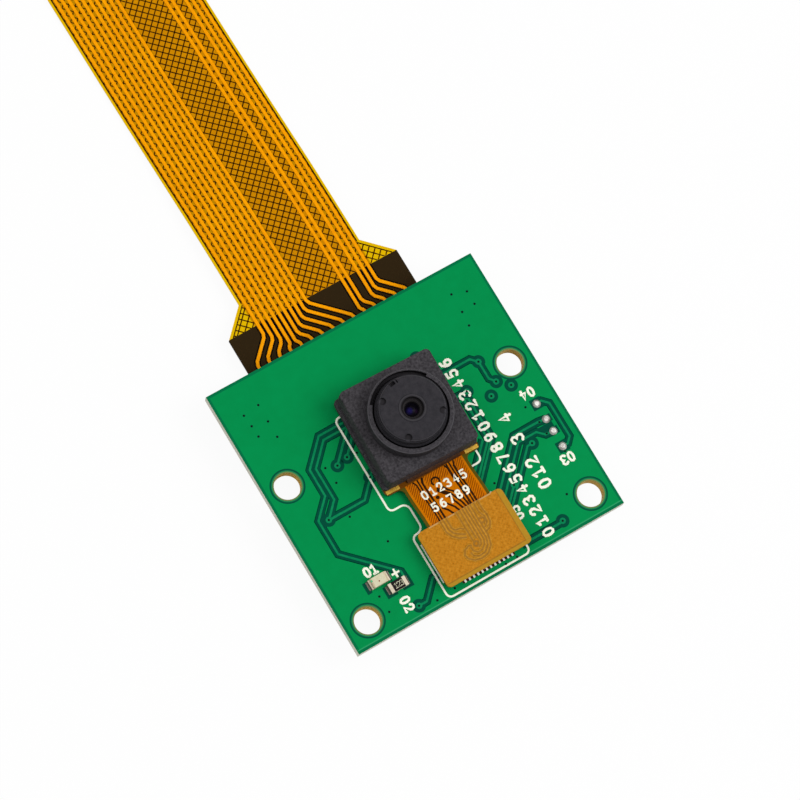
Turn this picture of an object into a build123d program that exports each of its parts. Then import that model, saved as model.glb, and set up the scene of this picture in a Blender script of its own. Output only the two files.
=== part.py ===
from build123d import *
import os
from math import atan2, cos, degrees, hypot, radians, sin, tan

# The part stands on the ribbon connector under its board. The origin is at that surface, under the
# board's centre. +X runs along the ribbon edge, +Y towards the ribbon, +Z along the lens axis.

# Circuit board
board_x = 25.0
board_y = 24.0
board_t = 1.0
hole_r = 1.1
hole_pitch_x = 21.0
hole_pitch_y = 12.5
hole_edge = 2.0
ink_t = 0.02
ink_w = 0.16
ink_r = 0.5
ink_sides = 4
ink_cx = -0.1
ink_module_x = 4.43
ink_top = 5.43
ink_waist_x = 2.85
ink_waist_top = -3.43
ink_waist_foot = -5.85
ink_head_x = 3.93
ink_foot = -11.76
ink_bar_x = -3.63
ink_bar_y = 3.55

# Clearances
seat_gap = 0.02
slide_gap = 0.05

# Camera module: its place on the board, its base and its lens housing
module_x = 0.3
module_y = 2.03
module_turn = -1.4
tape_side = 7.4
tape_t = 0.15
base_x = 8.66
base_y = 8.7
base_t = 0.28
flex_t = 0.12
base_corner_r = 0.3
gold_pad_x = 1.2
gold_t = 0.03
gold_margin = 0.08
housing_set_back = 0.25
housing_x = 8.3
housing_y = 8.38
housing_h = 2.35
housing_corner_r = 0.4
housing_edge = 0.06
foot_step = 0.25
foot_h = 0.45
foot_edge = 0.1
housing_wall = 0.75
cavity_h = 1.45
filter_x = 5.6
filter_y = 5.0
filter_t = 0.3
light_x = 4.6
light_y = 3.9
ring_r = 3.48
ring_h = 1.45
ring_edge = 0.12
ring_bore_r = 3.1
ring_bore_h = 0.8
ring_relief_r = 3.32
ring_relief_h = 0.55
ring_relief_from = 38.0
ring_relief_to = 144.0
sealant_x = 4.9
sealant_r = 0.26
sealant_cx = 0.15

# Image sensor
sensor_x = 5.7
sensor_y = 4.9
sensor_t = 0.35
pixels_x = 3.67
pixels_y = 2.74
pixels_t = 0.02

# Lens barrel and what it holds
barrel_r = 2.94
barrel_h = 2.95
barrel_proud = 0.9
head_h = 0.86
head_r = 2.8
step_h = 0.25
step_r = 2.7
face_r = 2.58
face_chamfer = 0.12
barrel_bore_r = 2.4
barrel_front_t = 0.72
iris_r = 0.6
iris_t = 0.2
cone_r = 0.9
cone_step_r = 0.76
cone_step_h = 0.22
lip_r = 1.12
lip_h = 0.05
notch_r = 0.3
notch_at = 2.44
notch_h = 0.22
notch_angles = (140.0, 233.0, 328.0)
gate_at = 2.5
gate_depth = 0.32
gate_h = 0.45
gates = ((101.0, 0.5), (91.0, 0.1))
lens_t = (0.6, 0.6, 0.55)
lens_crown = (0.16, 0.06, 0.06)
spacer_t = 0.1
spacer_bore_r = 1.25
retainer_t = 0.2
retainer_bore_r = 1.9

# Module flex and its connector
neck_x = 5.85
neck_fillet_r = 0.5
neck_flat = 1.1
head_x = 7.88
head_y = 5.03
head_cx = 0.13
head_cy = -8.615
head_corner_r = 0.4
stiffener_t = 0.2
mated_h = 0.95
link_cy = -8.735
link_count = 12
link_pitch = 0.4
socket_x = 6.8
socket_y = 3.9
socket_h = 0.6
socket_floor = 0.14
socket_skin = 0.15
socket_well_x = 5.7
socket_well_y = 2.5
island_x = 4.9
island_y = 0.7
island_h = 0.42
link_t = 0.08
link_w = 0.16
tail_reach = 2.52
plug_wall = 0.45
clip_t = 0.12
clip_y = 1.2
clip_reach = 0.22

# Light and resistor on the upper side
led_cx = -8.11
led_cy = -7.69
led_x = 1.66
led_y = 0.82
led_base_t = 0.25
led_dome_t = 0.3
led_dome_x = 1.36
led_end = 0.14
chip_end = 0.28
resistor_cx = -6.97
resistor_cy = -8.75
resistor_x = 1.55
resistor_y = 0.8
resistor_t = 0.4
glaze_t = 0.04
plating_t = 0.04
solder_run = 0.2
bare_pad_x = 10.6
bare_pad_y = (-1.5, -2.97, -4.1, -5.55)
bare_solder_r = 0.34
bare_solder_h = 0.16
bare_solder_sides = 12

# Ribbon connector under the board: body, contacts, clips and sliding latch
ffc_count = 15
ffc_pitch = 1.0
ffc_body_x = 19.6
ffc_body_y = 5.0
ffc_body_h = 2.7
ffc_set_back = 0.65
slot_depth = 3.45
slot_top = 1.9
slot_floor = 0.36
groove_w = 0.4
groove_h = 0.3
terminal_t = 0.12
terminal_w = 0.3
terminal_foot = 0.65
terminal_z = 2.05
latch_travel = 1.05
latch_bar_z = 0.1
latch_ear_t = 0.7
latch_ear_y = 1.75
latch_ear_z = 0.45
latch_ear_h = 1.05
latch_tip = 0.35
barb_y = 0.25
barb_x = 0.2
ffc_clip_t = 0.15
ffc_clip_y = 1.6
ffc_clip_foot = 0.9

# Ribbon
ribbon_plane = 1.2
ribbon_length = 150.0
ribbon_head_x = 16.0
ribbon_x = 11.5
film_t = 0.12
copper_t = 0.03
shield_t = 0.015
ribbon_stiff_t = 0.18
near_stiff_out = 3.67
track_w = 0.33
track_pitch = 0.5
track_places = (-10.5, -9.5, -8.5, -7.5, -6.5, -5.5, -4.5, -3.5, -2.5, -1.5, 5.5, 6.5, 8.5, 9.5, 10.5)
fan_out = 0.7
contact_w = 0.7
far_count = 22
far_pitch = 0.5
far_contact_w = 0.3
far_contact_y = 4.0
far_stiff_y = 6.5
shield_inset = 0.22
rest_gap = 0.01
bend_start = 9.5
bend_run = 12.0

# Small parts on the underside
clock_cx = -7.0
clock_cy = -2.5
clock_x = 3.2
clock_y = 2.5
clock_base_t = 0.35
clock_lid_t = 0.55
regulators_at = ((5.2, -1.2), (5.2, -6.0))
regulator_x = 2.9
regulator_y = 1.6
regulator_h = 1.1
regulator_lift = 0.1
lead_pitch = 0.95
lead_w = 0.4
lead_t = 0.13
lead_reach = 1.4
capacitors_at = (
    (-1.6, 2.6), (0.4, 2.6), (2.4, 2.6), (-2.4, -0.8), (-2.4, -2.6), (0.6, -0.8), (0.6, -2.6), (0.6, -6.0),
)
capacitor_x = 1.0
capacitor_y = 0.5
capacitor_t = 0.5
cap_end = 0.25
small_resistors_at = ((-7.0, 1.2), (-5.0, 1.2), (-3.0, -6.0), (-6.0, -6.0))
small_resistor_t = 0.35

# Worked out from the sizes above
board_z = ffc_body_h
top_z = board_z + board_t
module_place = Pos(module_x, module_y, top_z) * Rot(0, 0, module_turn)
lens_place = module_place * Pos(0, housing_set_back)
flex_top = tape_t + base_t + flex_t
housing_top = flex_top + housing_h
ring_top = housing_top + ring_h
barrel_top = ring_top + barrel_proud
barrel_foot = barrel_top - barrel_h
lens_seat = barrel_top - barrel_front_t
ffc_front = board_y / 2 - ffc_set_back
ffc_rear = ffc_front - ffc_body_y
slot_end = ffc_front - slot_depth
ribbon_start = slot_end + slide_gap
ribbon_end = ribbon_start + ribbon_length
ribbon_low = rest_gap + ribbon_stiff_t + film_t / 2
ribbon_drop = ribbon_plane - ribbon_low
ribbon_bend_r = 0.45 * hypot(bend_run, ribbon_drop) / tan(atan2(ribbon_drop, bend_run) / 2)
near_stiff_end = board_y / 2 + near_stiff_out


def slab(x, y, z, at=(0, 0, 0)):
    """Block centred on at in X and Y, standing on at in Z."""
    return Pos(*at) * Box(x, y, z, align=(Align.CENTER, Align.CENTER, Align.MIN))


def disc(r, z, at=(0, 0, 0)):
    """Round disc centred on at in X and Y, standing on at in Z."""
    return Pos(*at) * Cylinder(r, z, align=(Align.CENTER, Align.CENTER, Align.MIN))


def turned(section):
    """Round solid turned about Z from the corners of its section, each a radius and a height."""
    return revolve(make_face(Polyline(*[(r, 0, z) for r, z in section], close=True)), Axis.Z)


def bent_strip(points, thickness, width):
    """Sheet-metal strip: a centreline in the YZ plane with mitred bends, as wide as width along X."""
    sides = []
    for turn in (1, -1):
        edge = []
        for i, (y, z) in enumerate(points):
            ahead = points[min(i + 1, len(points) - 1)]
            behind = points[max(i - 1, 0)]
            out_a = atan2(ahead[1] - z, ahead[0] - y) if i < len(points) - 1 else None
            in_a = atan2(z - behind[1], y - behind[0]) if i > 0 else out_a
            out_a = in_a if out_a is None else out_a
            half = (out_a - in_a) / 2
            middle = in_a + half + radians(90) * turn
            reach = thickness / 2 / cos(half)
            edge.append((y + reach * cos(middle), z + reach * sin(middle)))
        sides.append(edge)
    outline = sides[0] + sides[1][::-1]
    face = make_face(Polyline(*[(0, y, z) for y, z in outline], close=True))
    return Pos(-width / 2, 0, 0) * extrude(face, width, dir=(1, 0, 0))


def row(count, pitch):
    """Places of a row of equal pitch, centred on zero."""
    return [(i - (count - 1) / 2) * pitch for i in range(count)]


def save(name, pieces):
    """Writes one node, made of one solid or of several like ones."""
    solids = pieces if isinstance(pieces, list) else [pieces]
    flat = [s for piece in solids for s in piece.solids()]
    shape = flat[0] if len(flat) == 1 else Compound(children=flat)
    export_step(shape, f"parts/{name}.step")


# Board and print
def circuit_board():
    plate = Rectangle(board_x, board_y)
    low = -board_y / 2 + hole_edge
    for x in (-hole_pitch_x / 2, hole_pitch_x / 2):
        for y in (low, low + hole_pitch_y):
            plate -= Pos(x, y) * Circle(hole_r)
    return Pos(0, 0, board_z) * extrude(plate, board_t)


def ink_corners(points):
    """Right-angled corners of a closed outline, each rounded in short sides, as fits a line of ink."""
    outline = []
    for i, (x, y) in enumerate(points):
        behind, ahead = points[i - 1], points[(i + 1) % len(points)]
        arriving = (Vector(x, y) - Vector(*behind)).normalized() * ink_r
        leaving = (Vector(*ahead) - Vector(x, y)).normalized() * ink_r
        for step in range(ink_sides + 1):
            turn = radians(90 * step / ink_sides)
            spot = Vector(x, y) - arriving * (1 - sin(turn)) + leaving * (1 - cos(turn))
            outline.append((spot.X, spot.Y))
    return outline


def silkscreen_outline():
    """White line round the module, the flex's neck and its head, with a bar beside the head."""
    half = [
        (ink_module_x, ink_top), (ink_module_x, ink_waist_top), (ink_waist_x, ink_waist_top),
        (ink_waist_x, ink_waist_foot), (ink_head_x, ink_waist_foot), (ink_head_x, ink_foot),
    ]
    points = [(ink_cx + x, y) for x, y in half] + [(ink_cx - x, y) for x, y in half[::-1]]
    plan = make_face(Polyline(*ink_corners(points), close=True))
    line = plan - offset(plan, -ink_w, kind=Kind.INTERSECTION)
    line += Pos(ink_bar_x, head_cy) * Rectangle(ink_w, ink_bar_y)
    taped = Rectangle(tape_side + 2 * slide_gap, tape_side + 2 * slide_gap)
    line -= Pos(module_x, module_y) * Rot(0, 0, module_turn) * taped
    return Pos(0, 0, top_z) * extrude(line, ink_t)


# Camera module
def module_tape():
    return module_place * slab(tape_side, tape_side, tape_t)


def base_stiffener():
    plate = slab(base_x, base_y, base_t, (0, 0, tape_t))
    return module_place * chamfer(plate.edges().filter_by(Axis.Z), base_corner_r)


def flex_path():
    """Centreline of the module's flex: flat under the sensor, then a gentle rise to its connector."""
    low = top_z + flex_top - flex_t / 2
    high = top_z + mated_h + flex_t / 2
    front = module_y - base_y / 2
    back = module_y + base_y / 2 + 1
    head_top = head_cy + head_y / 2
    points = [(0, back, low), (0, front - neck_flat, low), (0, head_top + neck_flat * 0.8, high)]
    points.append((0, head_cy - head_y, high))
    run = hypot(points[2][1] - points[1][1], high - low)
    turn = atan2(high - low, points[1][1] - points[2][1])
    return FilletPolyline(*points, radius=0.45 * run / tan(turn / 2))


def sheet_along(path, width, thickness, rise=0.0):
    """Level sheet swept along a path in a YZ plane, its middle raised by rise from the path."""
    start = path @ 0
    ahead = path % 0
    side = Vector(1, 0, 0)
    plane = Plane(origin=start, x_dir=side, z_dir=ahead)
    up = plane.y_dir.Z
    face = plane * Pos(0, rise * (1 if up > 0 else -1)) * Rectangle(width, thickness)
    return sweep(face, path=path)


def module_flex():
    pad = Pos(module_x, module_y) * Rot(0, 0, module_turn) * RectangleRounded(base_x, base_y, base_corner_r)
    head = Pos(head_cx, head_cy) * RectangleRounded(head_x, head_y, head_corner_r)
    top, foot = module_y, head_cy
    neck = Pos((module_x + head_cx) / 2, (top + foot) / 2) * Rectangle(neck_x, top - foot)
    plan = pad + neck + head
    front = module_y - base_y / 2
    beside = [v for v in plan.vertices() if abs(abs(v.X - module_x) - neck_x / 2) < 0.3]
    plan = fillet([v for v in beside if abs(v.Y - front) < 0.3], neck_fillet_r)
    prism = Pos(0, 0, top_z) * extrude(plan, housing_top)
    return sheet_along(flex_path(), base_x + 4, flex_t) & prism


def ground_pads():
    """Two bare pads on the base, between the housing's wall and the base's edge."""
    inner = -housing_y / 2 + housing_set_back - seat_gap
    outer = -base_y / 2 + gold_margin
    pads = []
    for side in (-1, 1):
        x = side * (base_x / 2 - gold_margin - gold_pad_x / 2)
        pad = slab(gold_pad_x, inner - outer, gold_t, (x, (inner + outer) / 2, flex_top))
        pads.append(module_place * pad)
    return pads


def image_sensor():
    die = slab(sensor_x, sensor_y, sensor_t, (0, 0, flex_top))
    die += slab(pixels_x, pixels_y, pixels_t, (0, 0, flex_top + sensor_t))
    return lens_place * die


def lens_housing():
    """Square body on a wider foot, and the tall round ring that takes the barrel."""
    body = extrude(RectangleRounded(housing_x, housing_y, housing_corner_r), housing_h)
    body = chamfer(body.faces().sort_by(Axis.Z)[-1].edges(), housing_edge)
    foot = extrude(RectangleRounded(housing_x + 2 * foot_step, housing_y, housing_corner_r), foot_h)
    foot = chamfer(foot.faces().sort_by(Axis.Z)[-1].edges().filter_by(Axis.Y), foot_edge)
    shell = Pos(0, 0, flex_top) * (body + foot)
    ring_from = flex_top + cavity_h
    ring = disc(ring_r, ring_top - ring_from, (0, 0, ring_from))
    shell += chamfer(ring.edges().sort_by(Axis.Z)[-1], ring_edge)
    inside_x, inside_y = housing_x - 2 * housing_wall, housing_y - 2 * housing_wall
    shell -= slab(inside_x, inside_y, cavity_h - filter_t, (0, 0, flex_top))
    seat_x, seat_y = filter_x + 2 * slide_gap, filter_y + 2 * slide_gap
    shell -= slab(seat_x, seat_y, filter_t, (0, 0, ring_from - filter_t))
    shell -= slab(light_x, light_y, barrel_foot - flex_top, (0, 0, flex_top))
    shell -= disc(barrel_r + slide_gap, ring_top, (0, 0, barrel_foot - slide_gap))
    shell -= disc(ring_bore_r, ring_top, (0, 0, ring_top - ring_bore_h))
    shell -= relief_cut()
    return lens_place * shell


def relief_cut():
    """Part of a turn cut wider in the ring, where the barrel's driver reaches in."""
    floor = (0, 0, ring_top - ring_relief_h)
    cut = disc(ring_relief_r, ring_h, floor) - disc(ring_bore_r - seat_gap, ring_h, floor)
    wedge = [(0, 0)]
    for i in range(5):
        a = radians(ring_relief_from + (ring_relief_to - ring_relief_from) * i / 4)
        wedge.append((2 * ring_r * cos(a), 2 * ring_r * sin(a)))
    return cut & extrude(make_face(Polyline(*wedge, close=True)), 2 * ring_top)


def foot_sealant():
    """Bead of glue that seals the housing's wall where the flex leaves it."""
    bead = Cylinder(sealant_r, sealant_x, rotation=(0, 90, 0))
    bead = Pos(sealant_cx, -housing_y / 2, flex_top) * bead
    keep = slab(sealant_x, sealant_r, sealant_r, (sealant_cx, -(housing_y + sealant_r) / 2, flex_top))
    return lens_place * (bead & keep)


def ir_filter():
    seat = flex_top + cavity_h - filter_t
    return lens_place * slab(filter_x, filter_y, filter_t - seat_gap, (0, 0, seat))


def lens_barrel():
    """Turned section of the barrel: shoulder, stepped head, lipped cone and the bore for the lenses."""
    head_z = barrel_top - head_h
    step_z = barrel_top - step_h
    lip_z = barrel_top + lip_h
    cone_z = barrel_top - cone_step_h
    section = [
        (barrel_bore_r, barrel_foot), (barrel_r, barrel_foot), (barrel_r, head_z - face_chamfer),
        (barrel_r - face_chamfer, head_z), (head_r, head_z), (head_r, step_z), (step_r, step_z),
        (step_r, barrel_top - face_chamfer), (face_r, barrel_top), (lip_r + lip_h, barrel_top),
        (lip_r, lip_z), (cone_r, lip_z), (cone_r, cone_z), (cone_step_r, cone_z),
        (iris_r, lens_seat + iris_t), (iris_r, lens_seat), (barrel_bore_r, lens_seat),
    ]
    barrel = turned(section)
    for a in notch_angles:
        at = (notch_at * cos(radians(a)), notch_at * sin(radians(a)), barrel_top - notch_h)
        barrel -= disc(notch_r, notch_h + lip_h, at)
    for a, width in gates:
        gate = slab(gate_depth, width, gate_h + lip_h, (gate_at, 0, barrel_top - gate_h))
        barrel -= Rot(0, 0, a) * gate
    return lens_place * barrel


def lens_stack():
    """Three moulded lenses, two spacers between them and the ring that holds them, from front to rear."""
    lenses, spacers = [], []
    z = lens_seat
    r = barrel_bore_r - seat_gap
    for i, (t, crown) in enumerate(zip(lens_t, lens_crown)):
        z -= t
        crown_r = (iris_r if i == 0 else spacer_bore_r) - slide_gap
        section = [(0, z), (r, z), (r, z + t), (crown_r, z + t)]
        if i == 0:
            section.append((crown_r / 2, z + t + crown * 0.75))
        section.append((0, z + t + crown))
        lenses.append(lens_place * turned(section))
        if i < 2:
            z -= spacer_t
            spacer = disc(r, spacer_t, (0, 0, z)) - disc(spacer_bore_r, spacer_t, (0, 0, z))
            spacers.append(lens_place * spacer)
    z -= retainer_t
    ring = disc(r, retainer_t, (0, 0, z)) - disc(retainer_bore_r, retainer_t, (0, 0, z))
    return lenses, spacers, lens_place * ring


# Flex head and the connector pair under it
def flex_stiffener():
    plate = extrude(RectangleRounded(head_x, head_y, head_corner_r), stiffener_t)
    return Pos(head_cx, head_cy, top_z + mated_h + flex_t) * plate


def link_rows():
    """Places of the connector's contacts: X, and which side of the middle they face."""
    return [(head_cx + x, side) for side in (1, -1) for x in row(link_count, link_pitch)]


def board_socket():
    body = slab(socket_x, socket_y, socket_h)
    body -= slab(socket_well_x, socket_well_y, socket_h, (0, 0, socket_floor))
    body += slab(island_x, island_y, island_h)
    for x in row(link_count, link_pitch):
        body -= slab(link_w + 2 * seat_gap, socket_y + 1, link_t + seat_gap, (x, 0, 0))
        body -= slab(link_w + 2 * seat_gap, socket_well_y, socket_floor, (x, 0, 0))
        for side in (1, -1):
            slot_y = socket_y / 2 - socket_skin - socket_well_y / 2 + seat_gap
            at = (x, side * (socket_well_y / 2 - seat_gap + slot_y / 2), 0)
            body -= slab(link_w + 2 * seat_gap, slot_y, socket_h, at)
    return Pos(head_cx, link_cy, top_z) * body


def board_socket_contacts():
    """Tail, riser in the wall, bend over its top and the spring that meets the plug's contact."""
    riser = socket_y / 2 - socket_skin - link_t / 2 - seat_gap
    spring = socket_well_y / 2 - link_t / 2 - seat_gap
    top = socket_h - link_t
    low = link_t / 2
    points = [(tail_reach, low), (riser, low), (riser, top), (spring, top), (spring, socket_floor + link_t)]
    strip = bent_strip(points, link_t, link_w)
    pieces = []
    for x, side in link_rows():
        facing = strip if side == 1 else Rot(0, 0, 180) * strip
        pieces.append(Pos(x, link_cy, top_z) * facing)
    return pieces


def board_socket_clips():
    clips = []
    for side in (1, -1):
        x = side * (socket_x / 2 + clip_t / 2)
        clip = slab(clip_t, clip_y, socket_h - 0.1, (x, 0, 0))
        clip += slab(clip_reach, clip_y, clip_t, (side * (socket_x / 2 + clip_reach / 2), 0, 0))
        clips.append(Pos(head_cx, link_cy, top_z) * clip)
    return clips


def flex_plug():
    low = socket_floor + 0.12
    inside = socket_well_y - 2 * (2 * link_t + 2 * seat_gap)
    body = slab(socket_well_x - 0.3, inside - 2 * link_t, mated_h - low, (0, 0, low))
    body -= slab(island_x + 0.2, island_y + 0.2, island_h, (0, 0, 0.1))
    return Pos(head_cx, link_cy, top_z) * body


def flex_plug_contacts():
    inner = socket_well_y / 2 - 2 * link_t - 2 * seat_gap + link_t / 2
    top = mated_h - link_t / 2
    strip = bent_strip([(inner + 0.4, top), (inner, top), (inner, 0.4)], link_t, link_w)
    pieces = []
    for x, side in link_rows():
        facing = strip if side == 1 else Rot(0, 0, 180) * strip
        pieces.append(Pos(x, link_cy, top_z) * facing)
    return pieces


# Light, resistor and bare pads
def led():
    place = Pos(led_cx, led_cy, top_z)
    inner = led_x - 2 * plating_t
    base = place * slab(inner, led_y, led_base_t)
    dome = slab(led_dome_x, led_y, led_dome_t, (0, 0, led_base_t))
    dome = fillet(dome.edges().filter_by(Axis.Y).sort_by(Axis.Z)[-2:], 0.12)
    ends = [place * end_cap(side * led_x / 2, side, led_end, led_y, led_base_t) for side in (1, -1)]
    return base, place * dome, ends


def end_cap(x, side, length, width, height):
    """Plated end of a chip: a thin wall over its end face, with a short return over its top."""
    wall = slab(plating_t, width, height + plating_t, (x - side * plating_t / 2, 0, 0))
    return wall + slab(length, width, plating_t, (x - side * length / 2, 0, height))


def resistor():
    place = Pos(resistor_cx, resistor_cy, top_z)
    inner = resistor_x - 2 * plating_t
    body = place * slab(inner, resistor_y, resistor_t)
    glaze = place * slab(resistor_x - 2 * chip_end - 2 * seat_gap, resistor_y, glaze_t, (0, 0, resistor_t))
    ends = [place * end_cap(s * resistor_x / 2, s, chip_end, resistor_y, resistor_t) for s in (1, -1)]
    return body, glaze, ends


def chip_solder():
    """Concave solder fillets at the ends of the light and the resistor."""
    fillets = []
    light = (led_cx, led_cy, led_x, led_y, led_base_t)
    chips = (light, (resistor_cx, resistor_cy, resistor_x, resistor_y, resistor_t))
    for cx, cy, length, width, height in chips:
        for side in (1, -1):
            rise = height * 0.8
            block = slab(solder_run, width * 0.9, rise, (side * solder_run / 2, 0, 0))
            hollow = scale(Cylinder(1, width, rotation=(90, 0, 0)), (solder_run * 0.95, 1, rise * 0.95))
            block -= Pos(side * solder_run, 0, rise) * hollow
            fillets.append(Pos(cx + side * length / 2, cy, top_z) * block)
    return fillets


def bare_pad_solder():
    """Low drops of solder on the pads that carry no part."""
    drop = extrude(RegularPolygon(bare_solder_r, bare_solder_sides), bare_solder_h)
    drop = chamfer(drop.faces().sort_by(Axis.Z)[-1].edges(), bare_solder_r * 0.4)
    return [Pos(bare_pad_x, y, top_z) * drop for y in bare_pad_y]


# Ribbon connector
def ribbon_connector_body():
    body = slab(ffc_body_x, ffc_body_y, ffc_body_h, (0, ffc_rear + ffc_body_y / 2, 0))
    long_edges = body.edges().filter_by(Axis.X).sort_by(Axis.Z)[:2]
    body = chamfer(long_edges, 0.15)
    slot_x = ribbon_head_x + 4 * slide_gap
    slot_y = slot_depth + 1
    body -= slab(slot_x, slot_y, slot_top - slot_floor, (0, slot_end + slot_y / 2, slot_floor))
    mouth = Pos(0, ffc_front, slot_top) * Rot(45, 0, 0) * Box(slot_x, 0.4, 0.4)
    body -= mouth
    groove_y = ffc_body_y - 0.4
    for x in row(ffc_count, ffc_pitch):
        body -= slab(groove_w, groove_y + 1, groove_h, (x, ffc_rear + groove_y / 2 - 0.5, slot_top))
        body -= slab(groove_w, 0.25, ffc_body_h, (x, ffc_rear + 0.125, terminal_z))
    for side in (1, -1):
        pocket_y = latch_travel + barb_y + 2 * slide_gap
        at_y = ffc_front - latch_ear_y - slide_gap + pocket_y / 2
        x = side * ffc_body_x / 2
        height = latch_ear_h - 0.2 + 2 * slide_gap
        body -= slab(2 * (barb_x + slide_gap), pocket_y, height, (x, at_y, latch_ear_z + 0.1 - slide_gap))
    return body


def ribbon_connector_contacts():
    seat = ribbon_plane + film_t / 2 + copper_t + seat_gap / 2 + terminal_t / 2
    foot_z = board_z - terminal_t / 2
    leg = ffc_rear + terminal_t / 2
    points = [
        (leg - terminal_foot, foot_z), (leg, foot_z), (leg, terminal_z), (ffc_front - 2.1, terminal_z),
        (ffc_front - 1.7, seat), (ffc_front - 1.4, seat), (ffc_front - 1.1, seat + 0.3),
    ]
    strip = bent_strip(points, terminal_t, terminal_w)
    return [Pos(x, 0, 0) * strip for x in row(ffc_count, ffc_pitch)]


def ribbon_connector_clips():
    clips = []
    for side in (1, -1):
        x = side * (ffc_body_x / 2 + ffc_clip_t / 2)
        y = ffc_rear + 0.4 + ffc_clip_y / 2
        clip = slab(ffc_clip_t, ffc_clip_y, board_z - 1.0, (x, y, 1.0))
        foot_x = side * (ffc_body_x / 2 + ffc_clip_foot / 2)
        clips.append(clip + slab(ffc_clip_foot, ffc_clip_y, ffc_clip_t, (foot_x, y, board_z - ffc_clip_t)))
    return clips


def ribbon_connector_latch():
    under = ribbon_plane - film_t / 2 - ribbon_stiff_t - seat_gap
    tongue_z = slot_floor + slide_gap
    bar_y = ffc_set_back - slide_gap
    width = ffc_body_x + 2 * (slide_gap + latch_ear_t)
    bar_at = ffc_front + slide_gap + bar_y / 2
    bar = slab(width, bar_y, under - latch_bar_z, (0, bar_at, latch_bar_z))
    bar = chamfer(bar.edges().filter_by(Axis.X).sort_by(Axis.Y)[-2:], 0.12)
    tongue_y = slot_depth - latch_tip + slide_gap
    tongue_at = (0, ffc_front + slide_gap - tongue_y / 2, tongue_z)
    tongue = slab(ribbon_head_x - 2 * slide_gap, tongue_y, under - tongue_z, tongue_at)
    tongue = chamfer(tongue.edges().filter_by(Axis.X).sort_by(Axis.Y)[:2].sort_by(Axis.Z)[-1:], 0.3, 0.3)
    latch = bar + tongue
    for side in (1, -1):
        x = side * (ffc_body_x / 2 + slide_gap + latch_ear_t / 2)
        ear_y = latch_ear_y + slide_gap
        latch += slab(latch_ear_t, ear_y, latch_ear_h, (x, ffc_front + slide_gap - ear_y / 2, latch_ear_z))
        barb_width = barb_x + slide_gap
        barb_at = side * (ffc_body_x / 2 - barb_x + barb_width / 2)
        at = (barb_at, ffc_front - latch_ear_y + barb_y / 2, latch_ear_z + 0.1)
        latch += slab(barb_width, barb_y, latch_ear_h - 0.2, at)
        grip = slab(1.2, 0.2, 0.3, (side * (width / 2 - 0.6), ffc_front + ffc_set_back - 0.1, under))
        latch += Pos(0, 0, -0.02) * grip
    return latch


# Ribbon
def ribbon_path():
    """Centreline of the ribbon's film: level out of the connector, then down to the surface it lies on."""
    turn_at = board_y / 2 + bend_start
    points = [
        (0, ribbon_start, ribbon_plane), (0, turn_at, ribbon_plane),
        (0, turn_at + bend_run, ribbon_low), (0, ribbon_end, ribbon_low),
    ]
    return FilletPolyline(*points, radius=ribbon_bend_r)


def ribbon_outline(inset=0.0):
    """Plan of the ribbon: wide head, 45 degree shoulders, long narrow body."""
    shoulder = (ribbon_head_x - ribbon_x) / 2
    head, body = ribbon_head_x / 2 - inset, ribbon_x / 2 - inset
    head_end = near_stiff_end
    half = [(head, ribbon_start), (head, head_end), (body, head_end + shoulder), (body, ribbon_end)]
    other = [(-x, y) for x, y in half[::-1]]
    return make_face(Polyline(*half, *other, close=True))


def tall(face):
    """Upright prism on a plan, tall enough to cut any layer of the ribbon."""
    return Pos(0, 0, -1) * extrude(face, ribbon_plane + 3)


def ribbon_film():
    return sheet_along(ribbon_path(), ribbon_head_x + 2, film_t) & tall(ribbon_outline())


def track_plan(place, contact):
    """One copper track: straight along the body, 45 degrees to its contact, straight into the contact."""
    near = board_y / 2 - 0.05
    corner = board_y / 2 + fan_out
    shift = abs(contact - place)
    end = ribbon_end - far_contact_y
    line = [(contact, near), (contact, corner), (place, corner + shift), (place, end)]
    half = track_w / 2
    lean = half * tan(radians(22.5)) * (1 if place > contact else -1)
    right = [(line[0][0] + half, line[0][1]), (line[1][0] + half, line[1][1] - lean)]
    right += [(line[2][0] + half, line[2][1] - lean), (line[3][0] + half, line[3][1])]
    left = [(line[0][0] - half, line[0][1]), (line[1][0] - half, line[1][1] + lean)]
    left += [(line[2][0] - half, line[2][1] + lean), (line[3][0] - half, line[3][1])]
    return make_face(Polyline(*right, *left[::-1], close=True))


def ribbon_tracks():
    layer = sheet_along(ribbon_path(), ribbon_head_x, copper_t, (film_t + copper_t) / 2)
    contacts = row(ffc_count, ffc_pitch)
    plans = [track_plan(p * track_pitch, c) for p, c in zip(track_places, contacts)]
    return [layer & tall(plan) for plan in plans]


def ribbon_shield():
    layer = sheet_along(ribbon_path(), ribbon_head_x, shield_t, -(film_t + shield_t) / 2)
    plan = ribbon_outline(shield_inset)
    y0, y1 = near_stiff_end, ribbon_end - far_stiff_y
    return layer & tall(plan & Pos(0, (y0 + y1) / 2) * Rectangle(ribbon_head_x, y1 - y0))


def ribbon_stiffeners():
    near_y = near_stiff_end - ribbon_start
    near = slab(ribbon_head_x, near_y, ribbon_stiff_t,
                (0, ribbon_start + near_y / 2, ribbon_plane - film_t / 2 - ribbon_stiff_t))
    far = slab(ribbon_x, far_stiff_y, ribbon_stiff_t,
               (0, ribbon_end - far_stiff_y / 2, ribbon_low - film_t / 2 - ribbon_stiff_t))
    return near, far


def ribbon_contacts():
    near_y = board_y / 2 - 0.05 - ribbon_start - 0.1
    near_at = (ribbon_start + 0.1 + near_y / 2, ribbon_plane + film_t / 2)
    near = [slab(contact_w, near_y, copper_t, (x, *near_at)) for x in row(ffc_count, ffc_pitch)]
    far_y = far_contact_y - 0.1
    far_at = (ribbon_end - 0.1 - far_y / 2, ribbon_low + film_t / 2)
    far = [slab(far_contact_w, far_y, copper_t, (x, *far_at)) for x in row(far_count, far_pitch)]
    return near, far


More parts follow.
